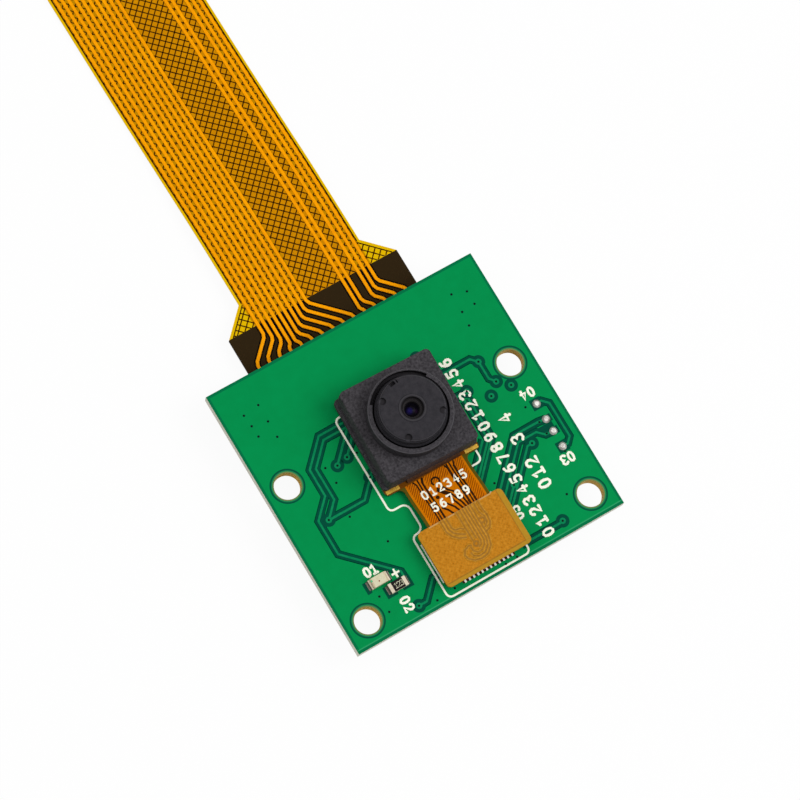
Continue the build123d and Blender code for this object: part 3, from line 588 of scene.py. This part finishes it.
def flat_piece(work, name, material):
    """Brings a flat mesh in millimetres to size and makes it a piece."""
    bmesh.ops.scale(work, verts=work.verts, vec=(mm, mm, mm))
    return piece_of(work, name, material)


etched_finish = finish_of("etched_strip", (0, 78, 58), (0, 72, 54), 0.36, 300, 0.06, gloss=0.02)
copper_finish = finish_of("masked_copper", (18, 138, 86), (4, 126, 78), 0.36, 300, 0.06, gloss=0.01)
etched = wires("etched", left_paths + right_paths, 0.74, 0.003, top)
etched_rings = pads(ringed_vias, 0.56, 0.006, top - 0.003, 1.0, 28)
windows = tiles([
    (-9.2, -7.77, 0.42, 1.0), (-7.18, -7.75, 0.16, 0.9), (-7.7, -8.86, 0.94, 1.0), (-6.24, -8.86, 0.96, 1.0),
    (-6.98, -8.7, 1.5, 0.9), (10.6, -1.5, 0.96, 0.96), (10.6, -2.97, 0.96, 0.64), (10.6, -4.1, 0.96, 0.64),
    (10.6, -5.55, 0.96, 0.96), (9.9, -3.535, 2.0, 0.45),
], 0.008, top - 0.004)
flat_piece(join(etched, etched_rings, windows), "etched_strips", etched_finish)
drawn = wires("drawn", left_paths + right_paths, 0.22, 0.008, top + 0.001)
drawn_pads = pads(ringed_vias, 0.29, 0.02, top - 0.01, 0.85)
flat_piece(join(drawn, drawn_pads), "masked_tracks", copper_finish)

# Vias: plated holes a fifth of a millimetre wide that the mask closes. Each is drawn as a low dark dot
# on its land.
plain_vias = [
    (-10.6, 9.2), (-10.5, 8.15), (-10.45, 7.15), (-9.15, 9.4), (-9.15, 7.85), (-9.15, 6.4), (9.3, 9.75),
    (10.55, 9.35), (9.3, 8.05), (10.55, 8.15), (9.2, 6.8), (-7.1, 2.3), (-6.95, 0.83), (-7.43, -2.08),
    (-5.8, -5.3), (4.15, -5.45), (-8.7, -8.8), (-8.65, -10.25), (-4.83, -11.35), (1.5, -11.55),
    (2.6, -11.5), (8.8, -9.1), (9.65, -1.3), (-4.25, 2.15), (-3.1, -11.2), (10.0, -2.92), (10.02, -4.02),
    (10.55, -6.0),
]
via_finish = finish_of("closed_via", (2, 26, 18), (2, 18, 12), 0.4, 900)
flat_piece(pads(plain_vias, 0.13, 0.012, top - 0.006, 0.9), "via_lands", copper_finish)
flat_piece(pads(plain_vias + ringed_vias, 0.1, 0.034, top - 0.008, 0.9, 12), "vias", via_finish)

# White print: screen-printed ink, a little rough. The outline shows where the camera goes, and rows of
# plain digits and a plus sign stand beside it.
ink_finish = finish_of("white_ink", (255, 255, 238), (244, 245, 226), 0.6, 1500, 0.2, 0.2)
dress("silkscreen_outline", ink_finish)
digit_lines = {
    "0": [[(0.5, 1), (0.85, 0.9), (1, 0.62), (1, 0.38), (0.85, 0.1), (0.5, 0), (0.15, 0.1), (0, 0.38),
           (0, 0.62), (0.15, 0.9), (0.5, 1)]],
    "1": [[(0.15, 0.78), (0.58, 1), (0.58, 0)], [(0.2, 0), (0.96, 0)]],
    "2": [[(0, 0.75), (0.14, 0.93), (0.48, 1), (0.84, 0.93), (1, 0.72), (0.88, 0.5), (0, 0), (1, 0)]],
    "3": [[(0, 0.88), (0.3, 1), (0.72, 0.98), (0.95, 0.8), (0.86, 0.6), (0.42, 0.53), (0.9, 0.44), (1, 0.22),
           (0.78, 0.02), (0.32, 0), (0, 0.12)]],
    "4": [[(0.74, 0), (0.74, 1), (0, 0.3), (1, 0.3)]],
    "5": [[(0.94, 1), (0.12, 1), (0.05, 0.56), (0.5, 0.64), (0.9, 0.54), (1, 0.3), (0.84, 0.06), (0.42, 0),
           (0, 0.12)]],
    "6": [[(0.86, 0.97), (0.42, 0.92), (0.08, 0.6), (0, 0.3), (0.18, 0.05), (0.52, 0), (0.88, 0.08), (1, 0.3),
           (0.86, 0.53), (0.48, 0.6), (0.08, 0.44)]],
    "7": [[(0, 1), (1, 1), (0.4, 0)]],
    "8": [[(0.5, 0.54), (0.12, 0.64), (0.06, 0.82), (0.24, 0.97), (0.5, 1), (0.76, 0.97), (0.94, 0.82),
           (0.88, 0.64), (0.5, 0.54), (0.08, 0.42), (0, 0.2), (0.18, 0.03), (0.5, 0), (0.82, 0.03),
           (1, 0.2), (0.92, 0.42), (0.5, 0.54)]],
    "9": [[(0.14, 0.03), (0.58, 0.08), (0.92, 0.4), (1, 0.7), (0.82, 0.95), (0.48, 1), (0.12, 0.92), (0, 0.7),
           (0.14, 0.47), (0.52, 0.4), (0.92, 0.56)]],
}
digit_width = 0.64
ink_rise = 0.012


def numerals(items, height, stroke, level):
    """Plain numbers printed in round-ended strokes: each item is a digit, its middle and its turn."""
    paths = []
    for digit, x, y, turned in items:
        across, up = digit_width * height - stroke, height - stroke
        c, s = cos(radians(turned)), sin(radians(turned))
        for line in digit_lines[digit]:
            spots = [((u - 0.5) * across, (v - 0.5) * up) for u, v in line]
            paths.append([(x + a * c - b * s, y + a * s + b * c) for a, b in spots])
    ends = [spot for path in paths if path[0] != path[-1] for spot in (path[0], path[-1])]
    strokes = wires("numerals", paths, stroke, ink_rise, level)
    return join(strokes, pads(ends, stroke / 2, ink_rise, level, 0.8, 12))


long_row = [(str(i % 10), 5.85, -11.0 + i, 90) for i in range(17)]
short_row = [(str(i), 7.7, y, 90) for i, y in enumerate((-7.45, -6.45, -5.45, -3.2, -1.3))]
place_numbers = [
    ("0", -8.57, -6.65, 0), ("1", -7.97, -6.65, 0), ("0", 10.7, -0.4, 180), ("4", 10.05, -0.4, 180),
    ("0", 10.75, -6.6, 180), ("3", 10.1, -6.6, 180), ("0", -7.08, -10.05, -90), ("2", -7.08, -10.75, -90),
    ("0", 4.45, -8.75, 90), ("5", 4.45, -8.1, 90),
]
plus = [[(-6.95, -7.8), (-6.25, -7.8)], [(-6.6, -7.42), (-6.6, -8.18)]]
marks = join(
    numerals(long_row, 1.14, 0.26, top), numerals(short_row, 1.24, 0.26, top),
    numerals(place_numbers, 0.98, 0.23, top), wires("plus", plus, 0.2, ink_rise, top),
)
flat_piece(marks, "white_marks", ink_finish)

# Camera's base: an adhesive square, a steel plate and the orange flex that carries the sensor and
# runs out to the connector. Its rims are clear cover film without copper.
tape_finish = finish_of("adhesive", (150, 150, 140), (130, 130, 122), 0.7, 800)
plate_finish = finish_of("steel_plate", (150, 148, 144), (120, 118, 114), 0.35, 1200, metal=1.0)
dress("module_tape", tape_finish)
dress("base_stiffener", plate_finish)
flex_middle = 0.215
flex_finish = finish_of("flex_film", (212, 120, 0), (196, 106, 0), 0.3, 500, 0.08, 0.05, gloss=0.02)
flex_x, flex_y = axes_of(flex_finish)[:2]


def stripes(along, pitch, share):
    """Mask of even stripes across a running measure, narrower the higher the share is."""
    wave = calc("SINE", calc("MULTIPLY", along, 2 * pi / (pitch * mm)))
    return calc("GREATER_THAN", wave, share)


hatch = stripes(calc("SUBTRACT", flex_x, flex_y), 0.25, 0.0)
from_axis = calc("ABSOLUTE", calc("SUBTRACT", flex_x, flex_middle * mm))
outer = calc("COMPARE", from_axis, 2.16 * mm, 0.34 * mm)
beyond_ring = calc("GREATER_THAN", flex_y, -3.1 * mm)
upper = calc("MULTIPLY", beyond_ring, calc("LESS_THAN", from_axis, 1.0 * mm))
hatched = calc("MULTIPLY", hatch, calc("MAXIMUM", outer, upper))
rim = calc("GREATER_THAN", from_axis, 2.68 * mm)
on_base = calc("GREATER_THAN", flex_y, -2.25 * mm)
tint(flex_finish, [(hatched, (150, 74, 0)), (rim, (92, 80, 18)), (on_base, (112, 64, 8))])
dress("module_flex", flex_finish)
gold_finish = finish_of("gold_pad", (200, 162, 70), (150, 114, 40), 0.3, 1500, 0.14, 0.2, metal=0.9)
dress("ground_pads", gold_finish)

# Tracks on the flex's neck: dark gaps etched between the copper, straight ones at both sides and a
# bundle that swings across in the middle. They follow the neck's slope.
neck_gaps = [
    [(-1.74, -2.25), (-1.56, -2.6), (-1.56, -6.2)], [(-1.33, -2.25), (-1.33, -6.2)],
    [(-0.86, -2.25), (-1.04, -2.7), (-1.04, -6.2)], [(-0.93, -2.25), (-1.08, -2.6), (-1.08, -6.2)],
    [(1.2, -2.25), (1.34, -2.6), (1.34, -6.2)], [(1.4, -2.25), (1.4, -6.2)], [(1.66, -2.25), (1.66, -6.2)],
    [(2.06, -2.25), (1.93, -2.6), (1.93, -6.2)], [(1.88, -2.6), (1.88, -6.2)],
    [(-0.4, -3.75), (0.0, -4.3), (0.25, -4.5)], [(-0.3, -3.6), (0.1, -4.15), (0.4, -4.5)],
    [(0.12, -3.65), (0.4, -4.15), (0.72, -4.5)], [(-0.85, -5.2), (-0.48, -5.65), (-0.2, -6.2)],
    [(-0.3, -5.1), (0.1, -5.65), (0.32, -6.2)], [(0.1, -4.5), (0.48, -5.6), (0.68, -6.2)],
    [(0.4, -4.5), (0.8, -5.55), (0.95, -6.2)], [(0.72, -4.5), (1.08, -5.3), (1.2, -6.2)],
]
neck_ring = [(0.33 * cos(radians(a)) - 0.07, 0.33 * sin(radians(a)) - 3.05) for a in range(-40, 221, 20)]
gap_finish = finish_of("etched_gap", (58, 30, 6), (44, 22, 4), 0.4, 600)
neck_from, neck_step, neck_cuts = -2.3, 0.2, 21
flex_data = nodes["module_flex"].data
flex_faces = [f.vertices[:] for f in flex_data.polygons]
flex_tree = BVHTree.FromPolygons([v.co for v in flex_data.vertices], flex_faces)


def stand_on_neck(work):
    """Cuts a flat mesh into short lengths and lifts each point to the flex's face."""
    for i in range(neck_cuts):
        everything = work.verts[:] + work.edges[:] + work.faces[:]
        cut = (0, neck_from - neck_step * i, 0)
        bmesh.ops.bisect_plane(work, geom=everything, plane_co=cut, plane_no=(0, 1, 0), dist=1e-5)
    for vert in work.verts:
        above = Vector((flex_middle * mm, vert.co.y * mm, 0.02))
        vert.co.z += flex_tree.ray_cast(above, Vector((0, 0, -1)))[0].z / mm
    return work


neck_work = join(
    wires("gaps", neck_gaps[:9], 0.14, 0.006, 0.0), wires("bundle", neck_gaps[9:], 0.17, 0.006, 0.0),
    wires("ring", [neck_ring], 0.16, 0.006, 0.0), pads([(-0.65, -4.3)], 0.16, 0.006, 0.0, 0.9),
)
flat_piece(stand_on_neck(neck_work), "neck_gaps", gap_finish)
neck_row = [(str(i), -1.45 + 0.72 * i, -3.62, 0) for i in range(6)]
neck_row_below = [(str(i + 5), -1.3 + 0.74 * i, -4.9, 0) for i in range(5)]
neck_numbers = join(numerals(neck_row, 0.86, 0.18, 0.004), numerals(neck_row_below, 0.86, 0.19, 0.004))
flat_piece(stand_on_neck(neck_numbers), "neck_numbers", ink_finish)

# Stiffened head of the flex: a tan polyimide patch over the connector. The copper bundle under it
# shows faintly, and its rim is clearer.
patch_finish = finish_of("stiffener_patch", (208, 142, 40), (156, 96, 2), 0.42, 4200, 0.1, 0.25)
patch_x, patch_y = axes_of(patch_finish)[:2]
patch_low, patch_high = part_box("flex_stiffener")
right_rim = calc("GREATER_THAN", patch_x, patch_high.x - 0.44 * mm)
lower_rim = calc("LESS_THAN", patch_y, patch_low.y + 0.27 * mm)
left_rim = calc("MULTIPLY", calc("LESS_THAN", patch_x, patch_low.x + 0.22 * mm), 0.4)
rims = calc("MAXIMUM", calc("MAXIMUM", right_rim, lower_rim), left_rim)
right_line = calc("COMPARE", patch_x, patch_high.x - 0.47 * mm, 0.05 * mm)
lower_line = calc("COMPARE", patch_y, patch_low.y + 0.31 * mm, 0.06 * mm)
rim_lines = calc("MULTIPLY", calc("MAXIMUM", right_line, lower_line), 0.5)
rising = stripes(calc("ADD", patch_x, patch_y), 0.3, 0.2)
falling = stripes(calc("SUBTRACT", patch_x, patch_y), 0.3, 0.2)
weave = calc("MULTIPLY", calc("ADD", rising, falling), 0.22)
over_neck = calc("COMPARE", patch_x, flex_middle * mm, 2.9 * mm)
at_end = calc("GREATER_THAN", patch_y, patch_high.y - 0.12 * mm)
clear_end = calc("MULTIPLY", calc("MULTIPLY", over_neck, at_end), 0.6)
tint(patch_finish, [
    (weave, (206, 128, 20)), (rim_lines, (126, 96, 34)), (calc("MULTIPLY", rims, 0.75), (176, 138, 38)),
    (clear_end, (200, 166, 110)),
])
dress("flex_stiffener", patch_finish)
patch_top = patch_high.z / mm
bundle_finish = finish_of("bundle_through_patch", (172, 122, 48), (144, 98, 30), 0.45, 4200)
bundle_light = finish_of("copper_through_patch", (210, 150, 50), (170, 112, 14), 0.45, 4200)
bundle = [
    [(-1.62, -6.12), (-1.62, -7.15), (-1.4, -7.65), (-0.98, -8.05), (-0.4, -8.3)],
    [(-1.36, -6.12), (-1.36, -7.05), (-1.15, -7.5), (-0.75, -7.8), (-0.35, -8.05)],
    [(-1.08, -6.12), (-1.08, -7.1), (-0.88, -7.35), (-0.5, -7.4), (-0.25, -7.65)],
    [(-0.12, -6.12), (-0.12, -8.8)], [(0.2, -6.12), (0.2, -8.75)],
    [(1.88, -6.12), (1.88, -7.0), (1.97, -7.45), (1.9, -8.1), (1.62, -8.5), (1.2, -8.62)],
    [(1.5, -6.12), (1.5, -7.0), (1.72, -7.5), (1.66, -8.0), (1.3, -8.3)],
    [(0.45, -6.12), (0.45, -9.0), (0.3, -9.32), (0.0, -9.45)],
    [(0.7, -6.12), (0.7, -9.05), (0.55, -9.45), (0.15, -9.75), (-0.25, -9.75), (-0.52, -9.5), (-0.55, -9.1)],
    [(0.93, -6.12), (0.93, -9.1), (0.72, -9.65), (0.25, -10.03), (-0.3, -10.08), (-0.7, -9.85),
     (-0.78, -9.5)],
    [(1.18, -6.12), (1.18, -9.0), (0.97, -9.75), (0.42, -10.24), (-0.2, -10.34), (-0.8, -10.2), (-1.2, -9.85),
     (-1.3, -9.45), (-1.08, -9.12), (-0.66, -8.95), (-0.4, -9.05)],
]


def round_path(x, y, radius):
    """Closed path of fourteen sides round a point."""
    turns = [2 * pi * i / 14 for i in range(14)]
    stops = [(x + radius * cos(a), y + radius * sin(a)) for a in turns]
    return stops + stops[:1]


bundle_spots = [round_path(1.38, -7.68, 0.22), round_path(-0.02, -9.1, 0.2)]
flat_piece(wires("bundle", bundle + bundle_spots, 0.17, 0.005, patch_top), "patch_bundle", bundle_finish)
flat_piece(wires("bundle_copper", bundle, 0.34, 0.002, patch_top), "patch_copper", bundle_light)

# Connector under the head: dark moulded plug and socket with gold-plated contacts, whose tinned tails
# stand out along both long sides.
moulding_finish = finish_of("connector_moulding", (78, 48, 32), (56, 34, 22), 0.5, 900, 0.1, 0.2)
dress("board_socket", moulding_finish)
dress("flex_plug", moulding_finish)
dress("flex_plug_contacts", gold_finish)
# The socket's contacts and clips get a whiter, less metallic copy of the tin: a painted highlight, lighter
# still where the head shades them.
tin_painted_light = finish_of(
    "tin_painted_light", (255, 254, 248), (236, 233, 226), 0.3, 1400, 0.14, 0.1, metal=0.15, gloss=0.3)
dress("board_socket_contacts", tin_painted_light)
dress("board_socket_clips", tin_painted_light)
tail_gaps = tiles([(0.13, -10.98, 4.9, 0.5)], 0.008, top - 0.003)
flat_piece(tail_gaps, "tail_gaps", finish_of("tail_gap", (62, 30, 22), (42, 20, 14), 0.5, 900))

# Lens housing and barrel: black plastic with a fine spark-eroded texture. The housing is square below
# and round above, the barrel is screwed in and glued, and a bead of sealant lies at the front foot.
housing_finish = finish_of("housing_plastic", (82, 79, 83), (34, 32, 35), 0.52, 5200, 0.12, 0.35)
barrel_finish = finish_of("barrel_plastic", (57, 55, 59), (42, 41, 45), 0.46, 2600, 0.12, 0.3)
barrel_x, barrel_y, barrel_z = axes_of(barrel_finish)
barrel_low, barrel_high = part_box("lens_barrel")
axis_at = (barrel_low + barrel_high) / 2
radius_here = from_upright(barrel_x, barrel_y, axis_at.x, axis_at.y)
# Painted light and shade on the barrel: the lip round the aperture, a thin line near its edge and the ledge
# in the cone are painted lighter as highlights; the cone, the outer step and the notch floors are painted
# darker as shade.
lip_highlight = calc("COMPARE", radius_here, 1.04 * mm, 0.04 * mm)
barrel_step_shade = calc("MULTIPLY", calc("GREATER_THAN", radius_here, 2.7 * mm), 0.45)
barrel_line_highlight = calc("MULTIPLY", calc("COMPARE", radius_here, 2.66 * mm, 0.035 * mm), 0.6)
in_notches = calc("COMPARE", radius_here, 2.05 * mm, 0.5 * mm)
notch_shade = calc("MULTIPLY", in_notches, calc("LESS_THAN", barrel_z, barrel_high.z - 0.06 * mm))
cone_shade = calc("LESS_THAN", radius_here, 0.93 * mm)
ledge_highlight = calc("COMPARE", radius_here, 0.7 * mm, 0.06 * mm)
tint(barrel_finish, [
    (lip_highlight, (62, 60, 63)), (cone_shade, (30, 28, 29)), (barrel_step_shade, (33, 32, 35)), (barrel_line_highlight, (68, 66, 70)),
    (ledge_highlight, (54, 51, 52)), (notch_shade, (42, 40, 43)),
])
housing_x, housing_y, housing_z = axes_of(housing_finish)
ring_radius = from_upright(housing_x, housing_y, axis_at.x, axis_at.y)
ring_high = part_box("lens_housing")[1].z
# Painted light and shade on the ring: its top and its outer edge are painted lighter as highlights, its outer
# side and the bore round the barrel are painted darker as shade.
on_rim = calc("GREATER_THAN", housing_z, ring_high - 0.13 * mm)
rim_highlight_band = calc("MULTIPLY", on_rim, 0.12)
rim_edge_highlight = calc("MULTIPLY", on_rim, calc("COMPARE", ring_radius, 3.46 * mm, 0.05 * mm))
above_deck = calc("COMPARE", housing_z, ring_high - 0.74 * mm, 0.6 * mm)
bore_shade = calc("MULTIPLY", above_deck, calc("LESS_THAN", ring_radius, 3.36 * mm))
ring_side_shade = calc("MULTIPLY", calc("SUBTRACT", above_deck, bore_shade), 0.6)
tint(housing_finish, [
    (rim_highlight_band, (80, 78, 83)), (rim_edge_highlight, (80, 78, 82)), (ring_side_shade, (36, 35, 38)), (bore_shade, (38, 36, 39)),
])
dress("lens_housing", housing_finish)
dress("lens_barrel", barrel_finish)
dress("lens_retainer", barrel_finish)
dress("foot_sealant", finish_of("foot_sealant", (92, 60, 38), (54, 34, 22), 0.35, 900, 0.1, 0.3))

# Optics: three moulded lenses, dark in the barrel, with a painted reflection of their coating as soft
# spots of violet and blue, black spacers, the filter glass and the sensor.
dress("lens_spacers", finish_of("black_film", (18, 18, 19), (12, 12, 13), 0.6, 900))
lens_finish = finish_of("coated_lens", (14, 11, 18), (9, 8, 13), 0.22, 600, 0.02)
lens_x, lens_y = axes_of(lens_finish)[:2]
# Painted reflection: two soft spots, blue and violet, that fade out from points near the lens's axis.
for off_x, off_y, reach, colour in ((-0.2, 0.0, 0.34, (24, 16, 84)), (0.26, -0.28, 0.24, (34, 18, 40))):
    distance = from_upright(lens_x, lens_y, axis_at.x + off_x * mm, axis_at.y + off_y * mm)
    painted_glint = calc("SUBTRACT", 1.0, calc("DIVIDE", distance, reach * mm))
    tint(lens_finish, [(calc("MAXIMUM", painted_glint, 0.0), colour)])
for name in ("front_lens", "middle_lens", "rear_lens"):
    dress(name, lens_finish)
filter_finish = finish_of("filter_glass", (190, 232, 236), (184, 226, 232), 0.03, 600, 0.02, gloss=0.5)
filter_shader = filter_finish.node_tree.nodes["Principled BSDF"]
filter_shader.inputs["Transmission Weight"].default_value = 1.0
filter_shader.inputs["IOR"].default_value = 1.52
dress("ir_filter", filter_finish)
dress("image_sensor", finish_of("sensor_silicon", (46, 40, 66), (30, 30, 48), 0.2, 900, metal=0.5))

# Light and resistor: small ceramic blocks with tinned ends in solder fillets. The light has a cream
# lens with a green corner and a red die, the resistor a black glaze.
ceramic_finish = finish_of("ceramic", (206, 200, 180), (186, 178, 156), 0.45, 1500, 0.1, 0.2)
cream_finish = finish_of("led_lens", (222, 218, 190), (206, 198, 162), 0.3, 1800, 0.08)
led_low, led_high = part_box("led_lens")
led_middle = (led_low.x + led_high.x) / 2
from_led_middle = calc("ABSOLUTE", calc("SUBTRACT", axes_of(cream_finish)[0], led_middle))
led_ends_mask = calc("MULTIPLY", calc("GREATER_THAN", from_led_middle, 0.52 * mm), 0.6)
tint(cream_finish, [(led_ends_mask, (206, 182, 150))])
chip_end_finish = finish_of("chip_end", (228, 218, 196), (192, 180, 158), 0.36, 2200, 0.14, 0.2, metal=0.2)
glaze_finish = finish_of("resistor_glaze", (36, 28, 30), (24, 18, 20), 0.3, 1500, 0.1)
solder_finish = finish_of("solder", (236, 233, 228), (122, 114, 108), 0.24, 3200, 0.2, 0.6, metal=0.6)
dull_solder = finish_of("dull_solder", (134, 126, 116), (84, 78, 72), 0.35, 2200, 0.2, 0.5, metal=0.6)
for name, finish in (
    ("led_base", ceramic_finish), ("led_lens", cream_finish), ("led_ends", chip_end_finish),
    ("resistor_body", ceramic_finish), ("resistor_glaze", glaze_finish), ("resistor_ends", chip_end_finish),
    ("chip_solder", dull_solder), ("bare_pad_solder", solder_finish),
):
    dress(name, finish)
led_top = led_high.z / mm
red_finish = finish_of("led_die", (150, 84, 66), (128, 66, 52), 0.4, 900)
green_finish = finish_of("led_corner", (96, 190, 136), (76, 176, 120), 0.4, 900)
flat_piece(pads([(-8.17, -7.78)], 0.07, 0.01, led_top - 0.004), "led_die", red_finish)
flat_piece(tiles([(-8.72, -7.5, 0.14, 0.18)], 0.01, led_top - 0.004), "led_corner", green_finish)
glaze_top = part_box("resistor_glaze")[1].z / mm
resistor_number = [(str(i + 1), -7.19 + 0.27 * i, -8.74, 0) for i in range(3)]
glaze_ink = finish_of("glaze_ink", (196, 196, 168), (176, 176, 150), 0.6, 1500)
flat_piece(numerals(resistor_number, 0.5, 0.07, glaze_top), "resistor_number", glaze_ink)
bare_pads = [(10.6, y) for y in (-1.5, -2.97, -4.1, -5.55)]
flat_piece(pads(bare_pads, 0.35, 0.05, top - 0.01), "pad_skirts", solder_finish)

# Ribbon connector under the board: ivory moulding, tinned contacts and clips, and the black latch
# that slides out to free the ribbon.
ivory_finish = finish_of("connector_ivory", (226, 218, 196), (210, 202, 180), 0.45, 700, 0.1, 0.15)
latch_finish = finish_of("latch_plastic", (44, 42, 42), (34, 32, 32), 0.42, 700, 0.1, 0.15)
dress("ribbon_connector_body", ivory_finish)
dress("ribbon_connector_contacts", tin_finish)
dress("ribbon_connector_clips", tin_finish)
dress("ribbon_connector_latch", latch_finish)
dress("ribbon_near_stiffener", stiff_finish)
dress("ribbon_near_contacts", tin_finish)

# Parts on the underside: an oscillator in a metal can, two moulded voltage regulators, ceramic
# capacitors and glazed resistors, all soldered flat to the board.
can_finish = finish_of("can_metal", (196, 192, 180), (176, 172, 160), 0.28, 900, 0.1, metal=0.9)
chip_finish = finish_of("chip_moulding", (46, 46, 48), (36, 36, 38), 0.55, 1200, 0.1, 0.3)
brown_finish = finish_of("capacitor_ceramic", (150, 112, 76), (128, 92, 60), 0.4, 1200)
for name, finish in (
    ("clock_base", ceramic_finish), ("clock_lid", can_finish), ("regulators", chip_finish),
    ("regulator_leads", tin_finish), ("capacitors", brown_finish), ("capacitor_ends", tin_finish),
    ("small_resistors", glaze_finish), ("small_resistor_ends", tin_finish),
):
    dress(name, finish)

# Underside of the board: solder under the parts' ends and the connector's feet, tracks and closed
# vias under the mask, and printed outlines with plain numbers, which read right from below.
feet_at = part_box("ribbon_connector_contacts")[0].y / mm
chips_below = [
    (-1.6, 2.6), (0.4, 2.6), (2.4, 2.6), (-2.4, -0.8), (-2.4, -2.6), (0.6, -0.8), (0.6, -2.6), (0.6, -6.0),
    (-7.0, 1.2), (-5.0, 1.2), (-3.0, -6.0), (-6.0, -6.0),
]
regulators_below = [(5.2, -1.2), (5.2, -6.0)]
clock_below = (-7.0, -2.5)
under_paths = [
    [(-7, feet_at), (-7, 4.0), (-6.55, 3.55), (-6.55, 1.2)],
    [(-7.45, 1.2), (-9.1, -0.45), (-9.1, -3.3), (-8.3, -3.3)],
    [(-6, feet_at), (-6, 4.0), (-5.45, 3.45), (-5.45, 1.2)], [(-4.55, 1.2), (-4.55, -5.0), (-5.55, -6.0)],
    [(-4, feet_at), (-4, 0.5), (-2.85, -0.8)],
    [(-3, feet_at), (-3, 4.0), (-2.05, 3.05), (-2.05, 2.6)],
    [(-1.15, 2.6), (-0.8, 2.2), (-0.8, -1.5), (-1.95, -2.6)],
    [(0, feet_at), (0, 2.6)], [(2, feet_at), (2, 2.6)], [(2.85, 2.6), (3.5, 1.9), (3.5, 0.7), (4.25, 0.0)],
    [(6, feet_at), (6, 3.0), (7.6, 1.4), (7.6, -3.6), (6.15, -4.85)],
    [(7, feet_at), (7, 3.6), (8.3, 2.3), (8.3, -6.6), (6.6, -8.4), (1.8, -8.4), (1.05, -7.6), (1.05, -6.0)],
    [(1.05, -0.8), (2.4, -0.8), (3.9, -2.35), (4.25, -2.35)],
    [(1.05, -2.6), (2.25, -3.8), (3.3, -3.8), (4.25, -4.8)], [(-2.55, -6.0), (0.15, -6.0)],
    [(-6.45, -6.0), (-7.0, -6.55), (-7.0, -8.4), (-6.4, -9.0), (2.0, -9.0), (2.6, -9.6), (2.6, -11.5)],
    [(-9.03, -1.49), (-9.6, -2.1), (-9.6, -8.0), (-8.65, -8.95), (-8.65, -10.25)],
]
etched_below = wires("etched_below", under_paths, 0.6, 0.003, underside)
windows_below = tiles([(x, y, 1.6, 0.86) for x, y in chips_below], 0.007, underside - 0.005)
flat_piece(join(etched_below, windows_below), "under_strips", etched_finish)
flat_piece(wires("drawn_below", under_paths, 0.2, 0.008, underside - 0.001), "under_tracks", copper_finish)
flat_piece(pads(plain_vias + ringed_vias, 0.17, 0.012, underside - 0.008, 1.0), "under_lands", copper_finish)
flat_piece(pads(plain_vias + ringed_vias, 0.09, 0.02, underside - 0.015, 1.0, 12), "under_vias", via_finish)
foot_pads = [(x, feet_at + 0.1, 0.55, 0.9) for x in range(-7, 8)]
end_pads = [(x + side * 0.52, y, 0.36, 0.6) for x, y in chips_below for side in (1, -1)]
lead_spots = [(step * 0.95, side * 1.25) for side in (1, -1) for step in (-1, 0, 1)]
lead_pads = [(x + a, y + b, 0.55, 0.6) for x, y in regulators_below for a, b in lead_spots]
clock_x, clock_y = clock_below
corner_pads = [(clock_x + a * 1.4, clock_y + b * 1.05, 0.9, 0.9) for a in (1, -1) for b in (1, -1)]
solder_below = tiles(foot_pads + end_pads + lead_pads + corner_pads, 0.03, underside - 0.025)
flat_piece(solder_below, "under_pads", solder_finish)


def frame_round(x, y, width, depth):
    """Closed rectangle path round a part."""
    spots = [(x + a * width / 2, y + b * depth / 2) for a, b in ((-1, -1), (1, -1), (1, 1), (-1, 1))]
    return spots + spots[:1]


outlines_below = [frame_round(*clock_below, 4.0, 3.3)]
outlines_below += [frame_round(x, y, 3.8, 3.7) for x, y in regulators_below]
outlines_below.append([(-8.3, feet_at - 0.5), (-8.0, feet_at - 0.9), (-7.6, feet_at - 0.9)])
row_below = [
    ("1", 8.1, feet_at - 1.0, 0), ("1", -8.3, feet_at - 1.6, 0), ("5", -7.6, feet_at - 1.6, 0),
    ("1", 1.6, 1.6, 0), ("2", -0.4, 1.6, 0), ("3", -2.4, 1.6, 0), ("6", -5.2, -8.6, 0), ("7", -4.4, -8.6, 0),
]
numbers_below = numerals(row_below, 0.9, 0.18, underside)
bmesh.ops.scale(numbers_below, verts=numbers_below.verts, vec=(-1, 1, 1))
frames_below = wires("outlines_below", outlines_below, 0.15, ink_rise, underside)
flat_piece(join(frames_below, numbers_below), "under_marks", ink_finish)
